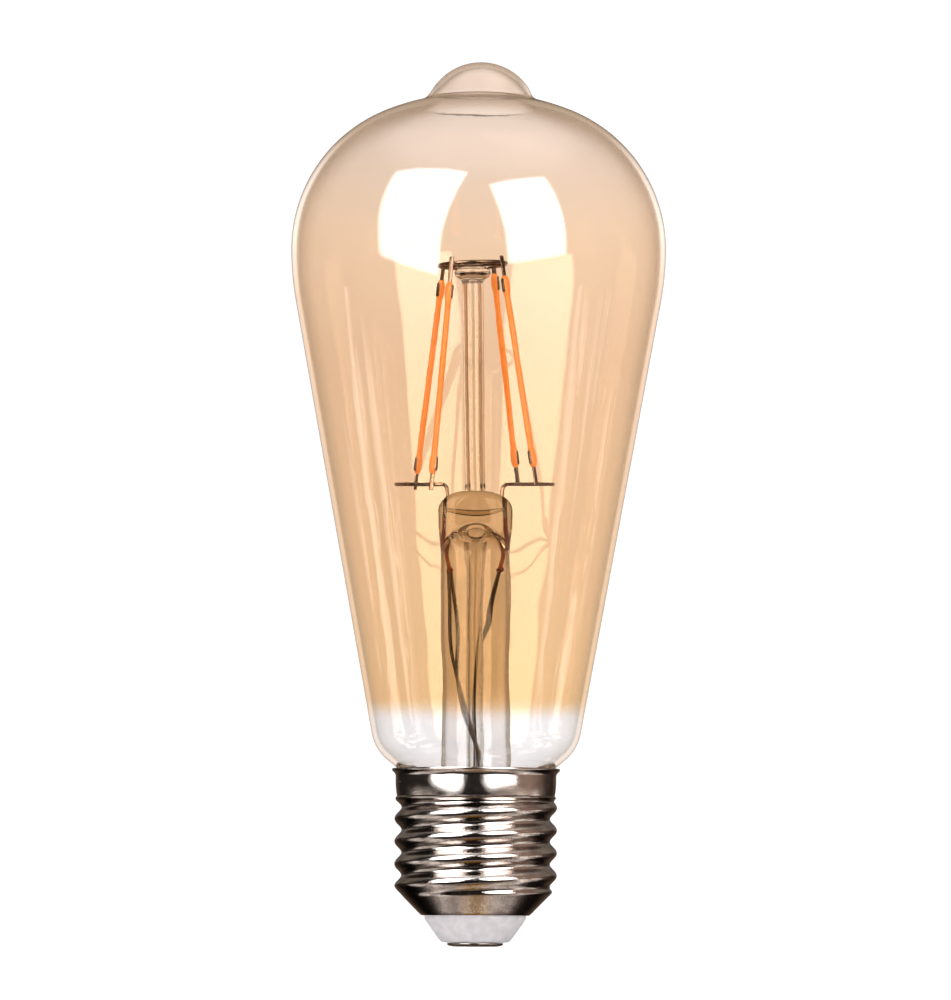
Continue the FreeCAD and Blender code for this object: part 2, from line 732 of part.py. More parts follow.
def make_filament(name, mount, ring, leads):
    side, upper_overrun = FILAMENTS[name][2:]
    place, length = filament_placement(name)
    frame = mount * place
    coat_frame = frame * at_height(COAT_SLIDE[side])
    make_coat(name, coat_frame)
    carrier = box(name + "_carrier", "carrier_thick", "carrier_width",
                  "coat_end - coat_start - 2 * tab_insert",
                  coat_frame * at_height("coat_start + tab_insert"))
    keep(carrier, name + "_carrier_strip")
    make_chips(name, coat_frame)
    lower_overrun = LOWER_OVERRUN[side]
    lower = box(name + "_lower", "carrier_thick", "tab_width",
                f"{lower_overrun} + {COAT_SLIDE[side]} + coat_start + tab_insert",
                frame * at_height(-lower_overrun))
    keep(cut(name + "_lower_tab", lower, leads[side]), name + "_lower_tab")
    upper = box(name + "_upper", "carrier_thick", "tab_width",
                f"{length} + {upper_overrun} - {COAT_SLIDE[side]} - coat_end + tab_insert",
                coat_frame * at_height("coat_end - tab_insert"))
    keep(cut(name + "_upper_tab", upper, ring), name + "_upper_tab")


# ---------------------------------------------------------------- screw cap

def cone_radius(height, wall=0.0):
    return value("cone_r") + value("cone_slope") * (height - value("cone_z")) - wall


def smooth_min(first, second, blend=0.5):
    """Lesser of two numbers, rounded where they are nearly equal."""
    near = max(blend - abs(first - second), 0.0) / blend
    return min(first, second) - near * near * blend / 4


def make_thread_skin(inside):
    """Rolled thread as one surface: a right-hand wave that runs out in the collar and the cone."""
    top, bottom, pitch = value("collar_end_z"), value("thread_end_z"), value("thread_pitch")
    mean, wave, peak = value("thread_mean_r"), value("thread_wave"), value("thread_peak")
    crest, collar = value("thread_crest_z"), value("collar_r")
    sheet_wall = value("sheet_thick") if inside else 0.0
    cone_wall = value("cone_wall") if inside else 0.0
    turns, levels, run_out = 36, 64, 0.9
    grid = []
    for level in range(levels + 1):
        height = bottom + (top - bottom) * level / levels
        fade = min(1.0, (top - height) / run_out)
        fade = fade * fade * (3 - 2 * fade)
        ring = []
        for step in range(turns + 1):
            angle = 2 * math.pi * (step % turns) / turns
            phase = 2 * math.pi * (height - crest) / pitch - angle
            thread = mean + wave * math.cos(phase) + peak * math.cos(2 * phase)
            radius = collar + (thread - collar) * fade - sheet_wall
            radius = smooth_min(radius, cone_radius(height, cone_wall))
            ring.append(Vector(radius * math.cos(angle), radius * math.sin(angle), height))
        grid.append(ring)
    skin = Part.BSplineSurface()
    skin.interpolate(grid)
    return skin.toShape()


def make_thread_wall():
    """The threaded stretch of the shell: two skins closed by a flat ring at each end."""
    skins = [make_thread_skin(False), make_thread_skin(True)]
    rims = [sorted((edge for edge in skin.Edges if edge.Closed), key=lambda edge: edge.BoundBox.ZMin)
            for skin in skins]
    ends = [Part.makeRuledSurface(outer, inner) for outer, inner in zip(*rims)]
    wall = Part.makeShell(skins + ends)
    wall.sewShape()
    solid = Part.makeSolid(wall)
    if solid.Volume < 0:
        solid.reverse()
    return solid


def make_cap_shell():
    """Thin sheet shell: flared lip, collar, rolled thread, cone and turned-in edge."""
    collar = turned("collar_blank", [
        ("collar_r", "collar_end_z"),
        ("collar_r", "lip_top_z - 1.05"),
        ("collar_r + 0.2", "lip_top_z - 0.7"),
        ("lip_r - 0.12", "lip_top_z - 0.45"),
        ("lip_r", "lip_top_z - 0.25"),
        ("lip_r - 0.08", "lip_top_z - 0.05"),
        ("lip_r - 0.25", "lip_top_z"),
        ("lip_r - 0.42", "lip_top_z - 0.12"),
        ("collar_r - sheet_thick + 0.1", "lip_top_z - 0.6"),
        ("collar_r - sheet_thick", "lip_top_z - 0.95"),
        ("collar_r - sheet_thick", "collar_end_z"),
    ])
    cone_top = "cone_r + cone_slope * (thread_end_z - cone_z)"
    cone = turned("cone_blank", [
        (cone_top, "thread_end_z"),
        ("cone_r", "cone_z"),
        ("cone_r - 0.35", "shell_edge_z + 0.04"),
        ("cone_r - 0.5", "shell_edge_z"),
        ("shell_hole_r", "shell_edge_z"),
        ("shell_hole_r", "cone_z"),
        ("cone_r - cone_wall", "cone_z"),
        (cone_top + " - cone_wall", "thread_end_z"),
    ])
    doc.recompute()
    seam = 1e-4
    whole = make_thread_wall().fuse([collar.Shape, cone.Shape], seam)
    return keep(feature_of("cap_shell", whole.Solids[0]), "cap_shell")


def make_insulator():
    top = "cone_r - cone_wall + cone_slope * (insulator_top_z - cone_z)"
    return keep(turned("insulator", [
        ("insulator_bore_r", "insulator_face_z"),
        ("insulator_face_r", "insulator_face_z"),
        ("insulator_foot_r", "insulator_foot_z"),
        ("insulator_r - 0.12", "insulator_side_z - 0.3"),
        ("insulator_r", "insulator_side_z"),
        ("insulator_r", "shell_edge_z"),
        ("shell_hole_r", "shell_edge_z"),
        ("shell_hole_r", "cone_z"),
        ("cone_r - cone_wall", "cone_z"),
        (top, "insulator_top_z"),
        ("insulator_cup_r", "insulator_top_z"),
        ("insulator_hub_r", "insulator_hub_z"),
        ("insulator_bore_r", "insulator_hub_z"),
    ]), "cap_insulator")


def make_contact():
    return keep(turned("contact", [
        ("0", "0"),
        ("contact_face_r", "0"),
        ("contact_face_r + 0.55", "0.12"),
        ("contact_r - 0.08", "0.3"),
        ("contact_r", "0.45"),
        ("contact_r", "insulator_face_z"),
        ("0", "insulator_face_z"),
    ]), "centre_contact")


def make_cement(envelope):
    """Ring of cement between the neck and the shell's collar, swelling over the rim."""
    blank = turned("cement_blank", [
        ("cement_foot_r", "cement_foot_z"),
        ("collar_r - sheet_thick", "cement_foot_z"),
        ("collar_r - sheet_thick", "lip_top_z - 0.95"),
        ("collar_r - sheet_thick + 0.1", "lip_top_z - 0.6"),
        ("lip_r - 0.42", "lip_top_z - 0.12"),
        ("cement_top_r", "lip_top_z - 0.05"),
        ("cement_foot_r", "cement_foot_z + 1.7"),
    ])
    return keep(cut("cement", blank, envelope), "capping_cement")


# ---------------------------------------------------------------- driver and radio in the cap

# name: (length, width, height, x, y) of each block
MODULE_BLOCKS = {
    "radio_can": ("5.6", "5.4", "1.6", "-1.6", "module_y"),
    "radio_crystal": ("1.6", "2.0", "0.6", "2.2", "module_y - 1.6"),
}
UNDERSIDE_BLOCKS = {
    "bridge_rectifier": ("4.7", "3.9", "1.6", "-4.4", "-4.2"),
    "driver_chip": ("4.9", "3.9", "1.5", "3.6", "-5.2"),
}
SMALL_PART_SIZE = (1.6, 0.8, 0.5)
SMALL_PARTS = [(3.4, 1.6), (3.4, 3.2), (3.4, 4.8), (6.2, 1.6), (6.2, 3.2), (-6.4, 0.6)]


def make_board():
    return keep(cylinder("board", "board_r", "board_thick", at_height("board_z")), "driver_board")


def make_board_parts():
    """Parts on both faces of the board: bulky ones above it, flat ones below."""
    above = at_height("board_z + board_thick")
    capacitor_turn = Placement(
        Vector(-value("capacitor_length") / 2, value("capacitor_y"),
               value("board_z + board_thick + capacitor_r")), Rotation(Vector(0, 1, 0), 90))
    keep(cylinder("capacitor", "capacitor_r", "capacitor_length", capacitor_turn), "filter_capacitor")
    keep(cylinder("inductor", "inductor_r", "inductor_height",
                  above * at_height("0", "-7.1", "-1.0")), "filter_inductor")
    keep(box("module", "module_length", "module_width", "module_thick", above, ("0", "module_y")),
         "radio_module")
    on_module = above * at_height("module_thick")
    under_board = at_height("board_z")
    for label, (length, width, height, x, y) in MODULE_BLOCKS.items():
        keep(box(label, length, width, height, on_module, (x, y)), label)
    make_antenna(on_module)
    for label, (length, width, height, x, y) in UNDERSIDE_BLOCKS.items():
        keep(box(label, length, width, height, under_board * at_height("-" + height), (x, y)), label)
    fuse_r = value("fuse_r")
    lying = Placement(Vector(-4.6, 4.6, value("board_z") - fuse_r), Rotation(Vector(0, 1, 0), 90))
    keep(cylinder("fuse", "fuse_r", "fuse_length", lying), "fusible_resistor")
    length, width, height = SMALL_PART_SIZE
    chips = [
        Part.makeBox(length, width, height,
                     Vector(x - length / 2, y - width / 2, value("board_z") - height))
        for x, y in SMALL_PARTS
    ]
    keep(feature_of("small_parts", Part.makeCompound(chips)), "surface_mount_parts")


def make_antenna(face):
    """Meander trace along the module's free edge."""
    width, thick, reach, step = 0.25, 0.1, 2.6, 0.7
    x, y = 3.4, value("module_y") - 0.2
    strips = []
    for turn in range(5):
        strips.append(Part.makeBox(reach / 2, width, thick, Vector(x, y + turn * step, 0)))
        if turn < 4:
            edge = x if turn % 2 else x + reach / 2 - width
            strips.append(Part.makeBox(width, step, thick, Vector(edge, y + turn * step, 0)))
    trace = strips[0].multiFuse(strips[1:]).removeSplitter()
    keep(feature_of("antenna", trace, face), "trace_antenna")


def make_cap_wires(shell, board):
    """Wire from the centre contact to the board, and wire from the board to the shell."""
    keep(cylinder("contact_fill", "insulator_bore_r", "1.0", at_height("insulator_face_z")),
         "contact_solder")
    upright = Placement()
    board_face = value("board_z")
    trimmed_wire("contact_wire", [
        Vector(0, 0, value("insulator_face_z") + 1.0),
        Vector(0, 0, 6.2),
        Vector(0.9, 0.6, 9.0),
        Vector(0.9, 0.9, board_face),
    ], "strand_r", upright, board)
    shell_end = Vector(11.0, -1.0, 9.5)
    blob_blank = cylinder("shell_blob", "0.8", "0.85",
                          Placement(shell_end, Rotation(Vector(0, 1, 0), 90)))
    blob = keep(cut("shell_joint", blob_blank, shell), "shell_solder")
    trimmed_wire("shell_wire", [
        Vector(8.4, -1.0, board_face),
        Vector(8.5, -1.0, 10.6),
        Vector(9.4, -1.0, 9.6),
        shell_end,
    ], "strand_r", upright, board, blob)


# ---------------------------------------------------------------- the whole bulb

def build():
    pivot = Vector(0, 0, value("board_z + board_thick"))
    lean = Rotation(Vector(0, 1, 0), -value("mount_lean"))
    mount = Placement(pivot, lean) * Placement(-pivot, Rotation())

    envelope = make_envelope()
    make_exhaust_tube(mount)
    ring = make_ring(mount)
    crossbar = make_crossbar(mount, ring)
    post = make_post_blank(mount)
    leads = {side: make_inner_lead(mount, side) for side in SIDES}
    knots = {side: make_weld_knot(mount, side) for side in SIDES}
    seals = {side: make_seal_wire(mount, side, knots[side], leads[side]) for side in SIDES}
    make_stem(mount, [post, *leads.values(), *seals.values()])
    keep(cut("post", post, crossbar), "centre_post")
    make_outer_strands(mount, knots, make_strand_solder())
    for name in FILAMENTS:
        make_filament(name, mount, ring, leads)

    shell = make_cap_shell()
    make_insulator()
    make_contact()
    make_cement(envelope)
    board = make_board()
    make_board_parts()
    make_cap_wires(shell, board)


def check_and_write():
    doc.recompute()
    for thing in doc.Objects:
        if "Invalid" in thing.State or "Error" in thing.State:
            raise RuntimeError(f"{thing.Label} failed: {thing.State}")
    for thing in nodes:
        shape = thing.Shape
        if shape.isNull() or not shape.isValid() or not shape.Solids:
            raise RuntimeError(f"{thing.Label} has no valid solid")
        print(f"{thing.Label:28s} solids {len(shape.Solids):3d} volume {shape.Volume:10.3f}")
    os.makedirs("parts", exist_ok=True)
    for thing in nodes:
        thing.Shape.exportStep(f"parts/{thing.Label}.step")
    print(len(nodes), "nodes")


build()
check_and_write()
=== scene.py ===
import math

import bpy
import numpy as np
from mathutils import Matrix, Vector


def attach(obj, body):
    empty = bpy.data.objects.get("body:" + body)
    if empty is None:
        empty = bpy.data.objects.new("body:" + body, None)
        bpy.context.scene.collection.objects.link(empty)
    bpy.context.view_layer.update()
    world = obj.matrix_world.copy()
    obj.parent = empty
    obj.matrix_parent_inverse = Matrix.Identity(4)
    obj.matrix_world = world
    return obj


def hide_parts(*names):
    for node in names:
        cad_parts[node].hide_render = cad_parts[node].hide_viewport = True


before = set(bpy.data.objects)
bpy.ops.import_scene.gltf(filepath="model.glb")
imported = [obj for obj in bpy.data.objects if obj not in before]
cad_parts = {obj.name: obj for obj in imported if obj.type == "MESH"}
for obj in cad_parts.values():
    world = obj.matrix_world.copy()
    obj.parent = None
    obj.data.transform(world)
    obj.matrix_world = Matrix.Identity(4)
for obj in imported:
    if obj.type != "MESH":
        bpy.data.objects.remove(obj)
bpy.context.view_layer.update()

MM = 0.001
BODY = "root"
SHARP_ANGLE = math.radians(50)
NO_RADIUS = 1e-6


# ---------------------------------------------------------------- meshes

def signed_volume(co, faces):
    """Volume inside a closed mesh, negative when its faces look inwards."""
    total = 0.0
    for size in (3, 4):
        chosen = np.array([face for face in faces if len(face) == size])
        for last in range(2, size):
            if len(chosen):
                a, b, c = co[chosen[:, 0]], co[chosen[:, last - 1]], co[chosen[:, last]]
                total += np.einsum("ij,ij->", a, np.cross(b, c))
    return total / 6


def faced(verts, faces, outwards=True):
    """The same closed mesh with all its faces looking out of it, or all into it."""
    if (signed_volume(verts, faces) > 0) != outwards:
        faces = [face[::-1] for face in faces]
    return verts, faces


def shade(mesh):
    mesh.shade_smooth()
    mesh.set_sharp_from_angle(angle=SHARP_ANGLE)


def make_object(name, verts, faces, material, placement=None):
    """Smooth-shaded mesh object; verts are in millimetres, in the piece's own frame."""
    co, faces = faced(np.asarray(verts, float), faces)
    if placement is not None:
        matrix = np.array(placement)
        co = co @ matrix[:3, :3].T + matrix[:3, 3]
    mesh = bpy.data.meshes.new(name)
    mesh.from_pydata((co * MM).tolist(), [], faces)
    shade(mesh)
    mesh.materials.append(material)
    thing = bpy.data.objects.new(name, mesh)
    bpy.context.scene.collection.objects.link(thing)
    return thing


def skin_faces(rings, around, ring_loop=False):
    """Quads between neighbouring rings of vertices."""
    faces = []
    last = rings if ring_loop else rings - 1
    for j in range(last):
        a = j * around
        b = ((j + 1) % rings) * around
        faces.extend((a + i, a + (i + 1) % around, b + (i + 1) % around, b + i)
                     for i in range(around))
    return faces


def add_fan(verts, faces, base, around, middle):
    """Close the ring that starts at vertex `base` with triangles to a new middle vertex."""
    hub = len(verts)
    for i in range(around):
        near, far = base + i, base + (i + 1) % around
        faces.append((hub, far, near) if base == 0 else (hub, near, far))
    return np.vstack([verts, middle])


def skin(rings, ring_loop=False):
    """Closed surface through a stack of rings, its ends fanned to their middles."""
    rings = [np.asarray(ring, float) for ring in rings]
    around = len(rings[0])
    verts = np.vstack(rings)
    faces = skin_faces(len(rings), around, ring_loop)
    if not ring_loop:
        for index in (0, len(rings) - 1):
            verts = add_fan(verts, faces, index * around, around, rings[index].mean(0))
    return verts, faces


def circle(radius, height, turn):
    return np.c_[radius * np.cos(turn), radius * np.sin(turn), np.full(len(turn), height)]


def full_turn(count):
    return np.linspace(0, 2 * math.pi, count, endpoint=False)


def lathe(profile, around, ring_loop=False):
    """Surface of revolution about Z of a line of (radius, height); radius 0 is a pole at an end.
    Without poles the line is an outline, and ring_loop joins its last point to its first."""
    turn = full_turn(around)
    rings = [circle(radius, height, turn) for radius, height in profile if radius >= NO_RADIUS]
    verts = np.vstack(rings)
    poles = [(index, height) for index, (radius, height) in enumerate(profile)
             if radius < NO_RADIUS]
    faces = skin_faces(len(rings), around, ring_loop and not poles)
    for index, height in poles:
        base = 0 if index == 0 else (len(rings) - 1) * around
        verts = add_fan(verts, faces, base, around, (0, 0, height))
    return verts, faces


def round_corners(points, passes=3):
    """Corner cutting: each pass swaps a corner for two points near it. The ends stay."""
    points = np.asarray(points, float)
    for _ in range(passes):
        ahead = points[:-1] * 0.75 + points[1:] * 0.25
        back = points[:-1] * 0.25 + points[1:] * 0.75
        cut = np.empty((2 * len(ahead), points.shape[1]))
        cut[0::2] = ahead
        cut[1::2] = back
        points = np.vstack([points[:1], cut[1:-1], points[-1:]])
    return points


BEND_SHARE = 0.48       # of the shorter leg at a corner, taken up by the bend
SHORTEST_STEP = 0.02


def bent_path(points, steps=8):
    """Line from the first point to the last, each corner between turned into a smooth bend."""
    points = [np.asarray(p, float) for p in points]
    path = [points[0]]
    for before, corner, after in zip(points, points[1:], points[2:]):
        reach = BEND_SHARE * min(np.linalg.norm(before - corner), np.linalg.norm(after - corner))
        start = corner + (before - corner) / np.linalg.norm(before - corner) * reach
        end = corner + (after - corner) / np.linalg.norm(after - corner) * reach
        for t in np.linspace(0, 1, steps):
            path.append((1 - t) ** 2 * start + 2 * t * (1 - t) * corner + t * t * end)
    path.append(points[-1])
    clean = [path[0]]
    for p in path[1:]:
        if np.linalg.norm(p - clean[-1]) > SHORTEST_STEP:
            clean.append(p)
    return np.array(clean)


def tube(path, radius, around=20, flat=1.0):
    """Round or flattened rod along a path; radius may be one number or one per point."""
    path = np.asarray(path, float)
    radius = np.broadcast_to(radius, len(path))
    ways = np.gradient(path, axis=0)
    ways /= np.linalg.norm(ways, axis=1)[:, None]
    side = np.cross(ways[0], (0, 0, 1) if abs(ways[0][2]) < 0.9 else (0, 1, 0))
    side /= np.linalg.norm(side)
    turn = full_turn(around)
    rings = []
    for point, way, r in zip(path, ways, radius):
        side = side - way * (side @ way)
        side /= np.linalg.norm(side)
        up = np.cross(way, side)
        rings.append(point + r * (np.outer(np.cos(turn), side) + flat * np.outer(np.sin(turn), up)))
    return skin(rings)


def join_shapes(shapes):
    """Several meshes as the shells of one."""
    verts, faces, base = [], [], 0
    for v, f in shapes:
        verts.append(v)
        faces.extend(tuple(i + base for i in face) for face in f)
        base += len(v)
    return np.vstack(verts), faces


def bar(stations, corner=6):
    """Loft of rounded rectangles up Z; a station is (z, x offset, depth, width, corner radius)."""
    rings = []
    for z, offset, depth, width, r in stations:
        ring = []
        r = min(r, depth / 2 - 1e-3, width / 2 - 1e-3)
        for quadrant, (sx, sy) in enumerate(((1, 1), (-1, 1), (-1, -1), (1, -1))):
            centre = (sx * (depth / 2 - r), sy * (width / 2 - r))
            for a in np.linspace(quadrant * 90, quadrant * 90 + 90, corner):
                a = math.radians(a)
                ring.append((offset + centre[0] + r * math.cos(a), centre[1] + r * math.sin(a), z))
        rings.append(ring)
    return skin(rings)


# ---------------------------------------------------------------- materials

class Nodes:
    """Short hand for building a node tree."""

    def __init__(self, tree):
        self.tree = tree
        tree.nodes.clear()

    def add(self, kind, inputs=None, **settings):
        node = self.tree.nodes.new(kind)
        for key, setting in settings.items():
            setattr(node, key, setting)
        for key, source in (inputs or {}).items():
            socket = node.inputs[key]
            if isinstance(source, bpy.types.NodeSocket):
                self.tree.links.new(source, socket)
            else:
                socket.default_value = source
        return node

    def math(self, operation, *sources):
        inputs = dict(enumerate(sources))
        return self.add("ShaderNodeMath", inputs, operation=operation).outputs[0]

    def product(self, *factors):
        result = factors[0]
        for factor in factors[1:]:
            result = self.math("MULTIPLY", result, factor)
        return result

    def vector_math(self, operation, first, second, output=0):
        node = self.add("ShaderNodeVectorMath", {0: first, 1: second}, operation=operation)
        return node.outputs[output]

    def scaled(self, colour, factor):
        return self.vector_math("MULTIPLY", colour, factor)

    def plus(self, first, second):
        return self.vector_math("ADD", first, second)

    def ramp(self, source, stops):
        """Colour ramp through (place, colour) stops."""
        node = self.add("ShaderNodeValToRGB", {"Fac": source})
        elements = node.color_ramp.elements
        while len(elements) < len(stops):
            elements.new(0.5)
        for element, (place, colour) in zip(elements, stops):
            element.position = place
            element.color = (*colour, 1.0)
        return node.outputs["Color"]

    def spread(self, source, low, high, to_low=0.0, to_high=1.0, smooth=False):
        """The source, mapped from low..high to to_low..to_high and held at the ends."""
        node = self.add("ShaderNodeMapRange",
                        {"Value": source, "From Min": low, "From Max": high,
                         "To Min": to_low, "To Max": to_high},
                        interpolation_type="SMOOTHSTEP" if smooth else "LINEAR")
        return node.outputs["Result"]

    def coordinates(self, scale=(1, 1, 1)):
        place = self.add("ShaderNodeTexCoord").outputs["Object"]
        return self.add("ShaderNodeMapping", {"Vector": place, "Scale": scale}).outputs["Vector"]

    def height(self):
        """Height above the contact, in metres."""
        return self.add("ShaderNodeSeparateXYZ", {"Vector": self.coordinates()}).outputs["Z"]

    def facing(self):
        """0 where the surface faces the eye, 1 where it is seen edge-on."""
        return self.add("ShaderNodeLayerWeight", {"Blend": 0.5}).outputs["Facing"]

    def noise(self, scale, detail=3.0, stretch=(1, 1, 1)):
        return self.add("ShaderNodeTexNoise",
                        {"Vector": self.coordinates(stretch), "Scale": scale, "Detail": detail,
                         "Roughness": 0.5}).outputs["Fac"]

    def mix(self, factor, first, second):
        """Blend of two colours."""
        node = self.add("ShaderNodeMix", data_type="RGBA")
        factor_socket, first_socket, second_socket = (node.inputs[i] for i in (0, 6, 7))
        for socket, source in ((factor_socket, factor), (first_socket, first),
                               (second_socket, second)):
            if isinstance(source, bpy.types.NodeSocket):
                self.tree.links.new(source, socket)
            elif socket == factor_socket:
                socket.default_value = source
            else:
                socket.default_value = (*source, 1.0)
        return node.outputs[2]

    def bump(self, height, strength, distance, normal=None):
        inputs = {"Height": height, "Strength": strength, "Distance": distance}
        if normal is not None:
            inputs["Normal"] = normal
        return self.add("ShaderNodeBump", inputs).outputs["Normal"]

    def principled(self, **inputs):
        inputs = {key.replace("_", " "): source for key, source in inputs.items()}
        shader = self.add("ShaderNodeBsdfPrincipled", inputs)
        self.add("ShaderNodeOutputMaterial", {"Surface": shader.outputs[0]})


GRAIN_DEPTH = 0.0002


def new_material(name):
    material = bpy.data.materials.new(name)
    material.use_nodes = True
    return material, Nodes(material.node_tree)


def amber_glass():
    """Glass that is clear at the neck and amber above the band, paler at the top of the dome.
    The amber is deeper where the glass is seen edge-on, and deepest in the tip: partly the longer
    path through the glass, partly painted shade that darkens the outline."""
    material, n = new_material("amber_glass")
    height = n.height()
    band_waver = n.math("MULTIPLY_ADD", n.noise(30, 2, (1, 1, 0.4)), 0.0016, -0.0008)
    level = n.spread(n.math("ADD", height, band_waver), 0.0, HEIGHT * MM)
    tint = n.ramp(level, [
        (0.250, (0.985, 0.97, 0.975)),
        (0.258, (0.98, 0.945, 0.94)),
        (0.275, (0.945, 0.745, 0.53)),
        (0.40, (0.955, 0.755, 0.56)),
        (0.66, (0.955, 0.765, 0.60)),
        (0.80, (0.988, 0.822, 0.675)),
        (0.92, (0.952, 0.848, 0.775)),
        (1.00, (0.935, 0.825, 0.735)),
    ])
    # Edge-on tone: partly the longer path through the amber, partly painted shade that darkens the
    # outline, deepest over the dome and tip.
    deep_edge_and_painted_shade = n.ramp(level, [
        (0.255, (0.93, 0.90, 0.88)),
        (0.275, (0.88, 0.68, 0.47)),
        (0.80, (0.88, 0.68, 0.50)),
        (0.90, (0.62, 0.45, 0.31)),
        (0.945, (0.36, 0.24, 0.15)),
        (1.00, (0.34, 0.23, 0.15)),
    ])
    facing = n.facing()
    tint = n.mix(n.spread(facing, 0.5, 0.85, smooth=True), tint, deep_edge_and_painted_shade)
    # The draw marks show on the outer skin where it is seen squarely, and are deeper low down.
    outside = n.math("SUBTRACT", 1.0, n.add("ShaderNodeNewGeometry").outputs["Backfacing"])
    square_on = n.math("MULTIPLY", n.spread(facing, 0.5, 0.72, 1.0, 0.0), outside)
    low = n.math("MULTIPLY", n.spread(height, 0.080, 0.066, smooth=True), square_on)
    drawn = n.bump(n.noise(70, 2, (1, 1, 0.12)), n.math("MULTIPLY", square_on, 0.045), 0.002)
    wavy = n.bump(n.noise(120, 1, (1, 1, 0.5)), n.math("MULTIPLY", low, 0.12), 0.002, drawn)
    fine = n.math("MULTIPLY", square_on, 0.02)
    normal = n.bump(n.noise(420, 2, (1, 1, 0.5)), fine, 0.0003, wavy)
    n.principled(Base_Color=tint, Roughness=0.0, IOR=1.5, Transmission_Weight=1.0, Normal=normal)
    return material


def clear_glass(name, tint, smoky=None, rim=(0.75, 0.68, 0.58), edge_shade_start=0.6, ior=1.5):
    """Glass with a faint draw, and with the rim's tone, a painted shade that darkens the outline,
    where it is seen edge-on.
    With a smoky tone it is the stem's: that tone fades in above the neck, and the press is
    deeper still. The painted edge shade starts at a facing of 0.58 below the press, and at the
    given start above it."""
    material, n = new_material(name)
    height = n.height()
    streaks = n.noise(120, 2, (1, 1, 0.2))
    if smoky:
        tint = n.mix(n.spread(height, 0.037, 0.043, smooth=True), tint, smoky)
        drawn = n.mix(0.15, tint, n.mix(streaks, tint, (0.9, 0.86, 0.8)))
        press = n.spread(height, 0.0640, 0.0668, smooth=True)
        tone = n.mix(press, drawn, (0.68, 0.58, 0.42))
    else:
        tone = n.mix(streaks, tint, [c * 0.96 for c in tint])
    # Painted shade: where the glass is seen edge-on its tone turns to the rim's tone, darkening its
    # outline.
    start = n.spread(height, 0.060, 0.064, 0.58, edge_shade_start)
    tone = n.mix(n.spread(n.facing(), start, 0.85), tone, rim)
    normal = n.bump(n.noise(150, 2, (1, 1, 0.15)), 0.005, 0.001)
    n.principled(Base_Color=tone, Roughness=0.0, IOR=ior, Transmission_Weight=1.0, Normal=normal)
    return material


def mottled(n, light, dark, wear, rough, patch, patch_detail):
    """Uneven tone and polish: patches of two tones, and finer patches of two roughnesses."""
    colour = n.mix(n.spread(n.noise(wear, 5), 0.35, 0.65), dark, light)
    return colour, n.spread(n.noise(wear * patch, patch_detail), 0.3, 0.7, *rough)


def metal(name, light, dark, rough, grain=900, relief=0.06, wear=60, rim=1.0):
    """Metal with mottled tone, uneven polish and a fine grain; rim dims its edge-on gloss."""
    material, n = new_material(name)
    colour, polish = mottled(n, light, dark, wear, rough, 4, 4)
    normal = n.bump(n.noise(grain, 3), relief, GRAIN_DEPTH)
    n.principled(Base_Color=colour, Metallic=1.0, Roughness=polish, Normal=normal,
                 Specular_Tint=(rim, rim, rim, 1.0))
    return material


def matt(name, light, dark, rough, relief=0.1, wear=150):
    """Ceramic, plastic, lacquer or cement: two near tones, uneven sheen and a fine grain."""
    material, n = new_material(name)
    colour, polish = mottled(n, light, dark, wear, rough, 3, 3)
    normal = n.bump(n.noise(1500, 4), relief, GRAIN_DEPTH)
    n.principled(Base_Color=colour, Roughness=polish, Normal=normal)
    return material


def phosphor():
    """Silicone loaded with phosphor: two near oranges, with a faint glow for its translucency."""
    material, n = new_material("phosphor")
    mottle = n.spread(n.noise(900, 4), 0.3, 0.7)
    colour = n.mix(mottle, (0.9, 0.3, 0.055), (0.95, 0.36, 0.08))
    normal = n.bump(n.noise(1600, 3), 0.08, GRAIN_DEPTH)
    n.principled(Base_Color=colour, Roughness=0.38, Normal=normal, Coat_Weight=0.2,
                 Emission_Color=colour, Emission_Strength=0.25)
    return material


def circuit_board():
    """Green lacquer over woven glass."""
    material, n = new_material("circuit_board")
    weave = n.add("ShaderNodeTexBrick", {
        "Vector": n.coordinates(), "Scale": 900.0, "Color1": (0.02, 0.16, 0.07, 1),
        "Color2": (0.025, 0.2, 0.09, 1), "Mortar": (0.015, 0.11, 0.05, 1)}).outputs["Color"]
    normal = n.bump(n.noise(1200, 3), 0.1, GRAIN_DEPTH)
    n.principled(Base_Color=weave, Roughness=0.35, Normal=normal, Coat_Weight=0.5)
    return material


# ---------------------------------------------------------------- pieces

def piece(name, shape, material, nodes, placement=None):
    thing = make_object(name, *shape, material, placement)
    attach(thing, BODY)
    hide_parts(*nodes)
    return thing


def ease(t):
    """Smooth step from 0 to 1."""
    return t * t * (3 - 2 * t)


def arc(centre, start, end, count):
    """Points along the shorter arc about the centre."""
    a = math.atan2(start[1] - centre[1], start[0] - centre[0])
    b = math.atan2(end[1] - centre[1], end[0] - centre[0])
    r = math.hypot(start[0] - centre[0], start[1] - centre[1])
    turn = np.linspace(a, b, count)
    return np.c_[centre[0] + r * np.cos(turn), centre[1] + r * np.sin(turn)]


# The bulb's outline, arc by arc from the tip down.
TIP_R, BLEND_R, DOME_R, SHOULDER_R, WAIST_R = 9.2, 2.5, 40.4, 24.0, 47.3
BODY_R, BODY_Z, TAPER, HEEL_R, HEEL_Z = 30.2, 112.3, 10.3, 7.2, 35.5
THROAT_ANGLE, THROAT_R, NECK_R, NECK_END_Z = 50.0, 2.0, 11.3, 19.5
HEIGHT, GLASS_WALL = 142.6, 0.8
TIP_SHIFT, TIP_SHIFT_Z, TIP_SHIFT_RISE = 0.28, 135.5, 3.5


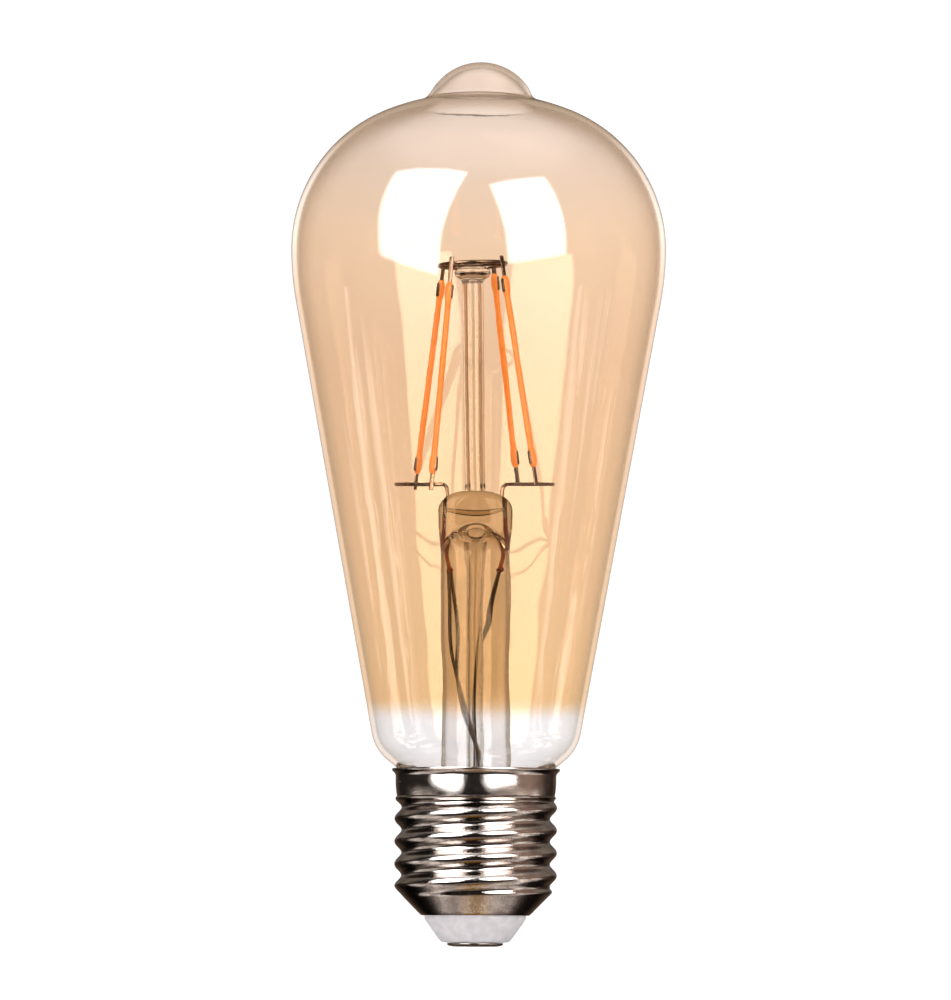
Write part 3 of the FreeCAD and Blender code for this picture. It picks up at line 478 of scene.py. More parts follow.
def envelope_skin(inset):
    """Radius and height down one skin of the bulb, from the tip's pole to the neck's end."""
    taper, throat = math.radians(TAPER), math.radians(THROAT_ANGLE)
    cone_out = np.array([math.cos(taper), -math.sin(taper)])
    cone_down = np.array([-math.sin(taper), -math.cos(taper)])
    throat_out = np.array([math.cos(throat), -math.sin(throat)])
    throat_down = np.array([-math.sin(throat), -math.cos(throat)])
    shoulder = np.array([BODY_R - SHOULDER_R, BODY_Z])
    waist = np.array([BODY_R - WAIST_R, BODY_Z])
    rise = math.sqrt((DOME_R - SHOULDER_R) ** 2 - shoulder[0] ** 2)
    dome = np.array([0, BODY_Z - rise])
    tip = np.array([0, HEIGHT - TIP_R])
    to_tip, to_dome, gap = TIP_R + BLEND_R, DOME_R + BLEND_R, tip[1] - dome[1]
    up = (to_dome ** 2 - to_tip ** 2 + gap ** 2) / (2 * gap)
    blend = np.array([math.sqrt(to_dome ** 2 - up ** 2), dome[1] + up])
    heel = waist + cone_out * (WAIST_R - HEEL_R)
    heel = heel + cone_down * ((heel[1] - HEEL_Z) / math.cos(taper))
    bend = heel + throat_out * (HEEL_R + THROAT_R)
    bend = bend + throat_down * ((bend[0] - (NECK_R + THROAT_R)) / math.sin(throat))

    def unit(v):
        return v / np.hypot(*v)

    points = [
        np.array([0, HEIGHT - inset]),
        tip + unit(blend - tip) * (TIP_R - inset),
        blend + unit(dome - blend) * (BLEND_R + inset),
        dome + unit(shoulder - dome) * (DOME_R - inset),
        shoulder + np.array([SHOULDER_R - inset, 0]),
        waist + cone_out * (WAIST_R - inset),
        heel + cone_out * (HEEL_R - inset),
        heel + throat_out * (HEEL_R - inset),
        bend - throat_out * (THROAT_R + inset),
        bend - np.array([THROAT_R + inset, 0]),
        np.array([NECK_R - inset, NECK_END_Z]),
    ]
    centres = {0: tip, 1: blend, 2: dome, 3: shoulder, 4: waist, 6: heel, 8: bend}
    counts = (18, 12, 26, 48, 28, 36, 14, 4, 10, 8)
    profile = [points[0][None]]
    for i, (start, end) in enumerate(zip(points, points[1:])):
        if i in centres:
            run = arc(centres[i], start, end, counts[i] + 1)
        else:
            run = np.linspace(start, end, counts[i] + 1)
        profile.append(run[1:])
    return np.vstack(profile)


def make_envelope(material):
    outer = envelope_skin(0.0)
    inner = envelope_skin(GLASS_WALL)[::-1]
    verts, faces = lathe(np.vstack([outer, inner])[::-1], 240)
    rise = np.clip((verts[:, 2] - TIP_SHIFT_Z) / TIP_SHIFT_RISE, 0, 1)
    verts[:, 0] += TIP_SHIFT * ease(rise)
    piece("glass_bulb", (verts, faces), material, ["glass_envelope"])


def lean(start, height, degrees):
    """The placement `start`, tilted sideways about a point on its axis."""
    turn = Matrix.Rotation(math.radians(degrees), 4, "Y")
    return (start @ Matrix.Translation((0, 0, height)) @ turn
            @ Matrix.Translation((0, 0, -height)))


MOUNT = lean(Matrix(), 13, -0.35)
POST = lean(MOUNT, 72.3, -0.55)
RING = Matrix.Translation((-0.35, 0, 109.8)) @ Matrix.Rotation(math.radians(-2.0), 4, "Y")
RING_R, WIRE_R, ARC_R, ARC_Z = 5.45, 0.3, 12.7, 74.3


STEM_R, STEM_WALL, RIM_R, RIM_Z = 5.5, 0.5, 10.45, 19.7
PRESS_BASE_Z, PRESS_WIDE_Z, PRESS_TOP_Z = 62.0, 70.0, 73.2
PRESS_HALF_WIDTH, PRESS_HALF_DEPTH = 5.95, 2.7
VENT_Z, VENT_HALF_WIDTH, VENT_HALF_HEIGHT = 66.4, 1.3, 0.75
VENT_RIM, VENT_RIM_SPREAD = 0.4, 0.28


def press_ring(height, turn):
    """One level of the pinched press, with the swollen rim of the vent on its front."""
    pinch = ease(min(1.0, (height - PRESS_BASE_Z) / (PRESS_WIDE_Z - 2.0 - PRESS_BASE_Z)))
    half_width = STEM_R + (PRESS_HALF_WIDTH - STEM_R) * pinch
    half_depth = STEM_R + (PRESS_HALF_DEPTH - STEM_R) * pinch
    if height > PRESS_WIDE_Z:
        rise = (height - PRESS_WIDE_Z) / (PRESS_TOP_Z - PRESS_WIDE_Z)
        crown = math.sqrt(max(0.0, 1 - rise * rise))
        half_width *= 0.25 + 0.75 * crown
        half_depth *= 0.45 + 0.55 * crown
    power = 1 / (1 + 0.25 * pinch)
    x = np.sign(np.cos(turn)) * np.abs(np.cos(turn)) ** power * half_width
    y = np.sign(np.sin(turn)) * np.abs(np.sin(turn)) ** power * half_depth
    away = np.hypot(x / 2.0, (height - VENT_Z) / 1.2)
    rim = VENT_RIM * np.exp(-((away - 1) / VENT_RIM_SPREAD) ** 2) * (y < 0)
    return np.c_[x, y - rim, np.full(len(turn), height)]


def stem_skin():
    """Flare tube and press: from the bore's roof down inside, round the rim, and up the outside
    to the press's crown."""
    turn = full_turn(160)
    inside = STEM_R - STEM_WALL
    roof = round_corners([
        (0.2, 0.1, 67.4), (1.4, 0.7, 67.25), (2.8, 1.4, 66.85), (3.8, 2.3, 66.1),
        (4.3, 3.1, 65.3), (4.5, 3.7, 64.5), (inside, 4.2, 63.3), (inside, 4.5, 62.0),
        (inside, inside, 60.0)], 2)
    flare = round_corners([
        (inside, 60.0), (inside, 30.5), (inside, 28.9), (inside + 0.5, 27.8),
        (RIM_R - 0.9, 20.4), (RIM_R - 0.9, RIM_Z), (RIM_R, RIM_Z), (RIM_R, 20.7),
        (RIM_R - 0.6, 21.2), (STEM_R + 0.5, 27.2), (STEM_R, 28.4), (STEM_R, 30.0),
        (STEM_R, 61.9)], 2)
    rings = [np.c_[half_width * np.cos(turn), half_depth * np.sin(turn), np.full(len(turn), z)]
             for half_width, half_depth, z in roof]
    rings += [circle(r, z, turn) for r, z in flare[1:]]
    rings += [press_ring(z, turn) for z in np.linspace(PRESS_BASE_Z, PRESS_WIDE_Z, 80)]
    rings += [press_ring(PRESS_WIDE_Z + (PRESS_TOP_Z - PRESS_WIDE_Z) * math.sin(t), turn)
              for t in np.linspace(0.03, math.pi / 2, 30)]
    return skin(rings)


def press_fold():
    """The crease left in the press where the tube was pinched shut: a thin hollow inside it."""
    across = np.linspace(-1, 1, 61)
    line = np.c_[4.9 * across, -0.9 + 0.7 * across ** 2, 69.6 + 0.75 * across ** 2]
    return tube(line, 0.5 * np.sqrt(1.02 - across ** 2), 20)


def cut_vent(stem, material):
    """Cut the vent through the press's front into the bore, and make the cut permanent."""
    spin = full_turn(64)
    bore = [np.c_[(VENT_HALF_WIDTH + wider) * np.cos(spin), np.full(len(spin), y),
                  VENT_Z + (VENT_HALF_HEIGHT + wider) * np.sin(spin)]
            for y, wider in ((-5.0, 0.6), (-3.6, 0.3), (-3.2, 0.05), (-2.6, 0.0), (-0.2, 0.0))]
    cutter = make_object("vent_cutter", *skin(bore), material, MOUNT)
    cut = stem.modifiers.new("vent", "BOOLEAN")
    cut.operation, cut.solver, cut.object = "DIFFERENCE", "EXACT", cutter
    shaped = stem.evaluated_get(bpy.context.evaluated_depsgraph_get())
    mesh = bpy.data.meshes.new_from_object(shaped)
    stem.modifiers.clear()
    stem.data = mesh
    bpy.data.objects.remove(cutter)
    shade(mesh)


def make_stem(material):
    shape = join_shapes([faced(*stem_skin()), faced(*press_fold(), outwards=False)])
    stem = piece("flare_and_press", shape, material, ["stem_glass"], MOUNT)
    cut_vent(stem, material)


def make_mount_glass(material):
    exhaust = round_corners([
        (0, 24.0), (0.7, 24.1), (1.2, 24.5), (1.4, 25.2), (1.4, 40), (1.4, 61.2), (1.65, 63.4),
        (2.2, 65.0), (1.7, 65.1), (1.05, 63.4), (0.9, 61.2), (0.9, 40), (0.9, 25.6),
        (0, 25.0)])
    piece("exhaust_pipe", lathe(exhaust, 64), material, ["exhaust_tube"], MOUNT)
    bore = round_corners([
        (0.9, 73.6), (0.9, 75.0), (0.9, 106.4), (0.9, 107.4), (0.5, 108.0), (0, 108.0)][::-1])
    outer = round_corners([
        (0, 109.5), (1.5, 109.5), (2.4, 109.3), (2.9, 108.9), (2.95, 108.4), (2.7, 107.85),
        (2.1, 107.6), (1.75, 107.2), (1.65, 106.6), (1.65, 105.8), (1.65, 74.6), (1.65, 73.1)])
    profile = np.vstack([bore, [(0.9, 73.1)], outer[::-1]])
    piece("glass_post", lathe(profile, 72), material, ["centre_post"], POST)


def make_ring_and_bar(material):
    turn = np.linspace(0, 2 * math.pi, 161)[:-1]
    spin = full_turn(20)
    reach = RING_R + WIRE_R * np.cos(spin)
    rings = [np.c_[reach * math.cos(t), reach * math.sin(t), WIRE_R * np.sin(spin)] for t in turn]
    place = MOUNT @ RING
    piece("filament_ring", skin(rings, ring_loop=True), material, ["top_ring"],
          place)
    half = RING_R - 0.2
    line = np.c_[np.linspace(-half, half, 40), np.zeros(40), np.zeros(40)]
    piece("ring_bar", tube(line, WIRE_R, 20, 0.85), material, ["ring_crossbar"],
          place)


ARC_PLANE = Matrix.Translation((0, 0, ARC_Z)) @ Matrix.Rotation(math.radians(3.6), 4, "X")
# The two leads, left (-1) and right (1): where each ends on the arc, and which way it runs back.
LEAD_END_ANGLE = {-1: 246.8, 1: -60.3}
LEAD_BACK_X = {-1: -7.6, 1: 5.8}
LEAD_BACK_Y = 10.2
LEAD_CORNER_R = 1.2
ELBOW_X, ELBOW_Y = 6.5, 2.4
SEAL_X, SEAL_Z = 4.6, 68.8
WELD_X, WELD_Z = 3.95, 60.6
STRAND_R = 0.28


def lead_path(sign):
    """Up out of the press, bent to the back, round a tight corner and forward on a wide arc."""
    start = np.array([sign * 4.3, 0.0])
    run = np.array([LEAD_BACK_X[sign], LEAD_BACK_Y]) - start
    run /= np.hypot(*run)
    outward = sign * np.array([run[1], -run[0]])
    base = start + outward * LEAD_CORNER_R
    advance = base @ run
    spare = (ARC_R - LEAD_CORNER_R) ** 2 - base @ base
    run_end = start + run * (math.sqrt(advance ** 2 + spare) - advance)
    centre = run_end + outward * LEAD_CORNER_R
    joint = centre / np.hypot(*centre) * ARC_R
    corner = arc(centre, run_end, joint, 10)[1:]
    begin, end = math.atan2(joint[1], joint[0]), math.radians(LEAD_END_ANGLE[sign])
    turn = np.linspace(begin, end, 70)[1:]
    wide = ARC_R * np.c_[np.cos(turn), np.sin(turn)]
    flat = np.vstack([corner, wide])
    lifted = [np.array(ARC_PLANE @ Vector((x, y, 0))) for x, y in flat]
    rise = bent_path([(sign * SEAL_X, 0, SEAL_Z), ARC_PLANE @ Vector((*start, 0)),
                      ARC_PLANE @ Vector((sign * ELBOW_X, ELBOW_Y, 0)),
                      ARC_PLANE @ Vector((*run_end, 0))], 14)
    return np.vstack([rise, lifted])


STRANDS = {
    # name: (number of its solder pad, counted from the axis, and its way down from the weld)
    "left_outer_strand_a": (0, [
        (-4.1, -0.25, 60.4), (-3.85, -0.9, 55), (-3.9, -1.0, 48.5), (-3.0, -1.8, 43.7),
        (-1.7, -2.5, 38.9), (0.9, -2.6, 29.5), (1.2, -2.2, 22)]),
    "left_outer_strand_b": (1, [
        (-3.8, 0.25, 60.4), (-2.8, -0.5, 53.2), (-2.6, -0.6, 49.7), (-3.0, -0.9, 43.7),
        (-2.05, -1.5, 37.9), (-0.3, -1.85, 33.1), (1.6, -1.75, 28), (2.2, -1.6, 22)]),
    "right_outer_strand_a": (-1, [
        (3.85, -0.25, 60.4), (2.45, 0.9, 55), (2.1, 1.4, 51.6), (0.75, 1.95, 49.0),
        (0.1, 2.0, 44.5), (-0.7, 1.9, 37.3), (-0.05, 1.9, 29), (-1.0, 1.6, 22)]),
    "right_outer_strand_b": (2, [
        (3.85, 0.4, 60.4), (2.65, 1.5, 55), (2.35, 2.0, 51.6), (1.0, 2.6, 49.0),
        (0.4, 2.7, 44.5), (-0.25, 2.6, 37.3), (0.6, 2.5, 29), (1.2, 2.2, 22)]),
}
PAD_PITCH, PAD_Y, PAD_Z = 2.0, -1.5, 13.4


def make_leads(nickel, dumet, strand):
    for label, (pad, route) in STRANDS.items():
        path = bent_path(route + [(pad * PAD_PITCH, PAD_Y, PAD_Z)])
        piece(label + "_wire", tube(path, STRAND_R, 14), strand, [label], MOUNT)
    for side, sign in (("left", -1), ("right", 1)):
        piece(side + "_support_lead", tube(lead_path(sign), WIRE_R, 18), nickel,
              [side + "_inner_lead"], MOUNT)
        seal = bent_path([(sign * SEAL_X, 0, SEAL_Z), (sign * SEAL_X, 0, 65.4),
                          (sign * WELD_X, 0, 60.9)])
        piece(side + "_seal_wire", tube(seal, WIRE_R, 18), dumet,
              [side + "_dumet_wire"], MOUNT)
        along = np.linspace(-1, 1, 15)
        dome = np.sqrt(np.clip(1 - along ** 2, 0.02, 1))
        lump = 0.55 * dome * (1 + 0.12 * np.sin(5 * along + sign))
        path = np.c_[sign * WELD_X + 0.06 * np.sin(3 * along), 0.05 * np.cos(4 * along),
                     WELD_Z + 0.55 * along]
        piece(side + "_weld", tube(path, lump, 16), dumet, [side + "_weld_knot"],
              MOUNT)


FILAMENTS = {
    # name: (upper weld's angle, lower weld's angle, slide of the coat, lower overrun,
    #        upper overrun, side of the electrode that shows)
    "filament_1": (144.6, 137.9, 0.0, 0.9, 0.4, 1),
    "filament_2": (234.6, 238.2, 0.0, 0.9, 1.0, 1),
    "filament_3": (54.6, 58.2, 1.1, 0.2, 0.4, -1),
    "filament_4": (-35.4, -42.1, 1.1, 0.2, 1.0, -1),
}
COAT_START, COAT_END = 1.75, 33.55
TAB_THICK, TAB_WIDE, TAB_LAP = 0.25, 0.75, 0.8


def filament_frame(upper_angle, lower_angle):
    """Frame of one filament: Z up along it from its lower weld, X away from the bulb's axis."""
    stand_off = WIRE_R + TAB_THICK / 2
    low, high = math.radians(lower_angle), math.radians(upper_angle)
    reach_low, reach_high = ARC_R + stand_off, RING_R + stand_off
    lower = ARC_PLANE @ Vector((reach_low * math.cos(low), reach_low * math.sin(low), 0))
    upper = RING @ Vector((reach_high * math.cos(high), reach_high * math.sin(high), 0))
    along = (upper - lower).normalized()
    outward = Vector((lower.x, lower.y, 0)).normalized()
    across = along.cross(outward).normalized()
    outward = across.cross(along)
    turned = Matrix((outward, across, along)).transposed().to_4x4()
    return MOUNT @ Matrix.Translation(lower) @ turned, (upper - lower).length


def coat_stations(slide, seed):
    """Cross sections of the coat: a thin wavy bar with a wider, taper-ended foot at each end."""
    rng = np.random.default_rng(seed)
    start, end = COAT_START + slide, COAT_END + slide
    foot = [(0.0, 0, 0.5, 0.62, 0.2), (0.12, 0, 0.75, 0.8, 0.3), (0.4, 0, 0.95, 1.0, 0.35),
            (0.8, 0, 1.06, 1.2, 0.38), (1.2, 0, 1.1, 1.26, 0.4), (2.2, 0, 1.1, 1.26, 0.4),
            (2.7, 0, 1.0, 1.12, 0.38), (3.1, 0, 0.9, 0.98, 0.38)]
    stations = [(start + z, x, d, w, r) for z, x, d, w, r in foot]
    for z in np.linspace(start + 3.5, end - 3.5, 48):
        swell = 0.02 * math.sin(z * 1.9 + seed) + rng.uniform(-0.012, 0.012)
        stations.append((z, rng.uniform(-0.008, 0.008), 0.88 + swell, 0.94 + swell, 0.38))
    stations += [(end - z, x, d, w, r) for z, x, d, w, r in foot[::-1]]
    return stations


def tab_stations(low, high, weld_z):
    """Cross sections of a metal tab, pinched where it is welded."""
    end = (0, 0.2, 0.6, 0.06)
    full = (0, TAB_THICK, TAB_WIDE, 0.08)
    pinched = (0, 0.2, TAB_WIDE + 0.06, 0.08)
    return [(low, *end), (low + 0.1, *full), (weld_z - 0.45, *full), (weld_z - 0.2, *pinched),
            (weld_z + 0.2, *pinched), (weld_z + 0.45, *full), (high - 0.1, *full), (high, *end)]


# The electrode that shows beside a tab, as bar stations from the coat's end inwards.
ELECTRODE = [(0.5, 0, 0.4, 0.1, 0.03), (0.65, 0, 0.6, 0.18, 0.05), (2.55, 0, 0.6, 0.18, 0.05),
             (2.7, 0, 0.4, 0.1, 0.03)]
ELECTRODE_Y = 0.6


def make_filaments(coat_material, tab_material):
    for seed, (name, facts) in enumerate(FILAMENTS.items()):
        upper_angle, lower_angle, slide, low_over, high_over, shown = facts
        place, length = filament_frame(upper_angle, lower_angle)
        piece(name + "_coat", bar(coat_stations(slide, seed)), coat_material,
              [name + "_phosphor_coat"], place)
        low_end, high_end = COAT_START + slide, COAT_END + slide
        lower = tab_stations(-low_over, low_end + TAB_LAP, 0.0 if low_over > 0.5 else 0.35)
        upper = tab_stations(high_end - TAB_LAP, length + high_over, length)
        for end, tab, first, sign in (("lower", lower, low_end, 1), ("upper", upper, high_end, -1)):
            strip = [(first + sign * z, x, d, w, r) for z, x, d, w, r in ELECTRODE]
            verts, faces = bar(strip if sign > 0 else strip[::-1])
            verts = verts + np.array([0, ELECTRODE_Y * shown, 0])
            shape = join_shapes([bar(tab), (verts, faces)])
            piece(f"{name}_{end}_strip", shape, tab_material,
                  [f"{name}_{end}_tab"], place)


# ---------------------------------------------------------------- screw cap

COLLAR_R, COLLAR_TOP_Z, COLLAR_END_Z, DRAW_IN = 12.9, 26.6, 24.1, 0.22
THREAD_R, THREAD_WAVE, THREAD_FLAT, THREAD_PITCH, THREAD_PHASE_Z = 12.52, 0.56, 0.03, 3.629, 22.3
THREAD_TOP_Z, THREAD_RUN_OUT, THREAD_END_Z = 23.9, 0.9, 7.8
SHELL_WALL, CONE_WALL = 0.3, 0.42
CONE_START_R, CONE_START_Z, CONE_SLOPE = 9.0, 5.3, 0.98
CAP_AROUND = 232


def cone_radius(height):
    return CONE_START_R + CONE_SLOPE * (height - CONE_START_Z)


def collar_radius(height):
    """The plain collar, drawn in a little towards the thread."""
    down = (COLLAR_TOP_Z - height) / (COLLAR_TOP_Z - COLLAR_END_Z)
    return COLLAR_R - DRAW_IN * down ** 2


def smooth_min(first, second, blend=0.5):
    near = np.maximum(blend - np.abs(first - second), 0.0) / blend
    return np.minimum(first, second) - near * near * blend / 4


def thread_radius(turn, height, inset, cone_inset):
    """Rolled thread: a right-hand wave that runs out in the collar and in the cone."""
    phase = 2 * math.pi * (height - THREAD_PHASE_Z) / THREAD_PITCH - turn
    thread = THREAD_R + THREAD_WAVE * np.cos(phase) - THREAD_FLAT * np.cos(2 * phase)
    begun = ease(min(1.0, (THREAD_TOP_Z - height) / THREAD_RUN_OUT))
    radius = COLLAR_R + (thread - COLLAR_R) * begun - inset
    return smooth_min(radius, cone_radius(height) - cone_inset)


def make_cap(material):
    """Screw shell as one closed skin: over the lip, down the outside, round the edge, up inside."""
    turn = full_turn(CAP_AROUND)
    lip = round_corners([
        (12.6, 27.2), (12.6, 27.6), (12.7, 27.95), (13.08, 28.43), (13.25, 28.55), (13.42, 28.55),
        (13.5, 28.42), (13.5, 28.25), (13.38, 28.1), (13.1, 27.85), (12.9, 27.5), (12.9, 27.1)], 2)
    edge = round_corners([
        (9.28, 5.58), (9.0, 5.3), (8.65, 5.0), (8.5, 5.0), (8.2, 5.0), (8.2, 5.3), (8.58, 5.3),
        (8.86, 5.58)], 2)
    collar = np.linspace(COLLAR_TOP_Z, COLLAR_END_Z, 14)
    thread = np.linspace(THREAD_TOP_Z, THREAD_END_Z, 140)
    cone = np.linspace(7.5, 5.8, 7)
    rings = [circle(r, z, turn) for r, z in lip]
    rings += [circle(collar_radius(z), z, turn) for z in collar]
    rings += [circle(thread_radius(turn, z, 0.0, 0.0), z, turn) for z in thread]
    rings += [circle(cone_radius(z), z, turn) for z in cone]
    rings += [circle(r, z, turn) for r, z in edge]
    rings += [circle(cone_radius(z) - CONE_WALL, z, turn) for z in cone[::-1]]
    rings += [circle(thread_radius(turn, z, SHELL_WALL, CONE_WALL), z, turn)
              for z in thread[::-1]]
    rings += [circle(collar_radius(z) - SHELL_WALL, z, turn) for z in collar[::-1]]
    piece("screw_shell", skin(rings, ring_loop=True), material, ["cap_shell"])


def make_cap_ends(insulator, brass, cement):
    disc = round_corners([
        (1.2, 5.0), (1.2, 0.65), (5.0, 0.65), (5.5, 0.8), (5.9, 1.3), (7.9, 4.1), (8.14, 4.55),
        (8.14, 4.9), (8.14, 5.1), (8.2, 5.3), (8.58, 5.3), (10.8, 7.55), (10.5, 7.6), (3.5, 7.6),
        (2.6, 5.2), (1.6, 5.0)], 2)
    piece("insulating_disc", lathe(disc[:-1], 160, True), insulator,
          ["cap_insulator"])
    button = round_corners([
        (0, 0.65), (4.5, 0.65), (4.55, 0.5), (4.5, 0.28), (4.1, 0.1), (3.5, 0.0), (2.4, 0.0),
        (1.5, 0.06), (0, 0.08)], 2)
    piece("contact_button", lathe(button[::-1], 128), brass, ["centre_contact"])
    glue = round_corners([
        (11.45, 24.3), (12.38, 24.3), (12.55, 27.5), (12.7, 27.9), (13.0, 28.3), (12.6, 28.45),
        (11.6, 28.3), (11.4, 27.6), (11.4, 26.0)], 2)
    piece("cement_ring", lathe(glue, 160, True), cement, ["capping_cement"])


# ---------------------------------------------------------------- studio

def direction(azimuth, elevation):
    """Unit vector; azimuth 0 points from the bulb to the camera and grows to the right."""
    a, e = math.radians(azimuth), math.radians(elevation)
    return Vector((math.sin(a) * math.cos(e), -math.cos(a) * math.cos(e), math.sin(e)))


FLOOR_HALF, FLOOR_Z = 4, -0.00002
AIM = Vector((0, 0, 0.07))
LIGHT_DISTANCE = 1.1
LIGHTS = [
    # name, azimuth, elevation, energy, size
    ("key", -36, 32, 2.2, 0.7),
    ("fill", 35, 28, 1.6, 0.7),
    ("back", 180, 40, 1.0, 1.0),
]
CAMERA_PLACE = (-0.0003, -1.14, 0.0015)
CAMERA_PITCH, CAMERA_ROLL, CAMERA_LENS = 3.528, 0.29, 255.4

PANELS = [
    # (colour, edge softness, corners in order round the panel, as azimuth and elevation)
    ((9.0, 9.0, 9.0), 0.02, [(-71, 46.8), (-10, 52.7), (-25.5, -10.8), (-62.7, -1.6)]),
    ((9.0, 9.0, 9.0), 0.02, [(7.8, 42.4), (53.2, 45.9), (55.6, -1.2), (18.3, -6.6)]),
    ((0.3, 0.29, 0.27), 0.03, [(-54, -5), (-26, -12), (-30, -21), (-46, -24)]),
    ((0.3, 0.29, 0.27), 0.03, [(20, -8), (58, -3), (60, -22), (26, -24)]),
]


def soft_boxes(n, way, deep):
    """The panels as the glass and metal mirror them, fainter deep inside the glass."""
    boxes = (0.0, 0.0, 0.0)
    for colour, soft, corners in PANELS:
        ways = [direction(*corner) for corner in corners]
        middle = sum(ways, Vector()).normalized()
        mask = 1.0
        for first, second in zip(ways, ways[1:] + ways[:1]):
            edge = first.cross(second).normalized()
            if edge.dot(middle) < 0:
                edge = -edge
            side = n.vector_math("DOT_PRODUCT", way, edge, "Value")
            mask = n.product(mask, n.spread(side, -soft, soft, smooth=True))
        boxes = n.plus(boxes, n.scaled(colour, mask))
    return n.scaled(boxes, n.spread(deep, 0, 1, 1.0, 0.35))


def room_tones(n, azimuth, up):
    """The dark room, warmer on the right and darker below."""
    room = n.ramp(n.spread(azimuth, -math.pi, math.pi), [
        (0.0, (0.04, 0.035, 0.03)), (0.31, (0.03, 0.026, 0.024)), (0.45, (0.03, 0.027, 0.025)),
        (0.55, (0.035, 0.03, 0.028)), (0.67, (0.34, 0.25, 0.2)), (0.75, (0.36, 0.25, 0.2)),
        (0.83, (0.1, 0.075, 0.065)), (1.0, (0.04, 0.035, 0.03))])
    return n.scaled(room, n.spread(up, -0.5, -0.25, 0.15, 1.0))


def back_tones(n, back, up, shallow, entered):
    """Pale light from behind the bulb: for what is mirrored just inside the glass, for what is
    mirrored deeper in, and faintly from above."""
    wall = n.product(n.spread(back, 0.0, 0.8, smooth=True), n.spread(up, 0.4, 0.1, 0.3, 1.0))
    through = n.math("SUBTRACT", 1.0, shallow)
    rear = n.product(shallow, n.spread(back, 0.1, 0.6), n.spread(back, 0.97, 0.9),
                     n.spread(up, 0.1, 0.3))
    return [((0.8, 0.79, 0.77), n.product(shallow, entered, wall)),
            ((0.5, 0.46, 0.4), n.product(through, n.spread(back, 0.0, 0.6))),
            ((0.3, 0.27, 0.23), rear)]


def above_and_below(n, across, up, shallow):
    """A pale ceiling, and a ground that is amber right under the bulb."""
    ceiling = n.product(shallow, n.spread(up, 0.7, 0.95, smooth=True))
    central = n.product(n.spread(across, 0.23, 0.18, smooth=True),
                        n.spread(up, -0.9, -0.94, smooth=True))
    ground = n.mix(central, (0.27, 0.235, 0.215), (0.26, 0.13, 0.012))
    return [((0.8, 0.79, 0.78), ceiling), (ground, n.spread(up, -0.7, -0.88, smooth=True))]


def edge_tones(n, across, back, up, shallow):
    """What grazing reflections find behind the bulb: pale at its sides, brown over its dome."""
    lateral = n.spread(n.math("SUBTRACT", across, n.math("MULTIPLY", up, 0.6)), 0.0, 0.2)
    edge = n.product(shallow, n.spread(back, 0.8, 0.95, smooth=True), lateral)
    tone = n.mix(n.spread(up, 0.0, 0.12), (0.42, 0.29, 0.2), (0.9, 0.83, 0.84))
    crown = n.product(shallow, n.spread(back, 0.55, 0.8), n.spread(up, 0.1, 0.25),
                      n.math("SUBTRACT", 1.0, lateral))
    return [(tone, edge), ((0.2, 0.13, 0.08), crown)]


def ragged_streaks(n, azimuth, up, shallow):
    """The ragged pale streaks mirrored at both sides, low on the glass."""
    turned = n.math("ABSOLUTE", azimuth)
    spot = n.add("ShaderNodeCombineXYZ", {"X": azimuth, "Y": n.math("MULTIPLY", up, 2.5)})
    stripes = n.add("ShaderNodeTexNoise", {
        "Vector": spot.outputs[0], "Scale": 4.5, "Detail": 3.0, "Roughness": 0.55})
    ragged = n.add("ShaderNodeTexNoise", {"W": azimuth, "Scale": 7.0, "Detail": 2.0},
                   noise_dimensions="1D")
    steep = n.math("DIVIDE", n.math("SUBTRACT", 0.04, up),
                   n.math("COSINE", n.math("MULTIPLY", azimuth, 0.5)))
    begun = n.math("SUBTRACT", steep, n.spread(ragged.outputs["Fac"], 0.3, 0.7, -0.03, 0.05))
    streak = n.product(shallow, n.spread(turned, 1.1, 1.25, smooth=True),
                       n.spread(turned, 2.05, 1.85, smooth=True),
                       n.spread(begun, 0.282, 0.3, smooth=True),
                       n.spread(stripes.outputs["Fac"], 0.5, 0.56, smooth=True))
    return [((2.4, 2.25, 2.1), streak)]


def make_world():
    """White all round for the eye, a dark studio with two soft boxes for anything mirrored.
    Parts of the studio show only to rays that have crossed the glass so many times."""
    world = bpy.data.worlds.new("studio")
    world.use_nodes = True
    world.cycles.sampling_method = "NONE"
    bpy.context.scene.world = world
    n = Nodes(world.node_tree)
    way = n.add("ShaderNodeTexCoord").outputs["Generated"]
    right, back, up = n.add("ShaderNodeSeparateXYZ", {"Vector": way}).outputs
    across = n.math("ABSOLUTE", right)
    azimuth = n.math("ARCTAN2", right, n.math("MULTIPLY", back, -1.0))
    path = n.add("ShaderNodeLightPath")
    mirrored = n.math("GREATER_THAN", path.outputs["Glossy Depth"], 0.5)
    crossed = path.outputs["Transmission Depth"]
    shallow = n.math("LESS_THAN", crossed, 2.5)
    entered = n.math("GREATER_THAN", crossed, 0.5)
    deep = n.math("GREATER_THAN", crossed, 4.5)
    studio = n.plus(soft_boxes(n, way, deep), room_tones(n, azimuth, up))
    for colour, amount in (back_tones(n, back, up, shallow, entered)
                           + above_and_below(n, across, up, shallow)
                           + edge_tones(n, across, back, up, shallow)
                           + ragged_streaks(n, azimuth, up, shallow)):
        studio = n.plus(studio, n.scaled(colour, amount))
    seen = n.math("MAXIMUM", path.outputs["Is Camera Ray"], path.outputs["Is Transmission Ray"])
    white = n.ramp(n.spread(right, -0.03, 0.03),
                   [(0, (1.04, 1.04, 1.04)), (1, (1.1, 1.1, 1.1))])
    plain = n.mix(seen, (0.75, 0.75, 0.76), white)
    colour = n.mix(mirrored, plain, studio)
    light = n.add("ShaderNodeBackground", {"Color": colour, "Strength": 1.0})
    n.add("ShaderNodeOutputWorld", {"Surface": light.outputs[0]})


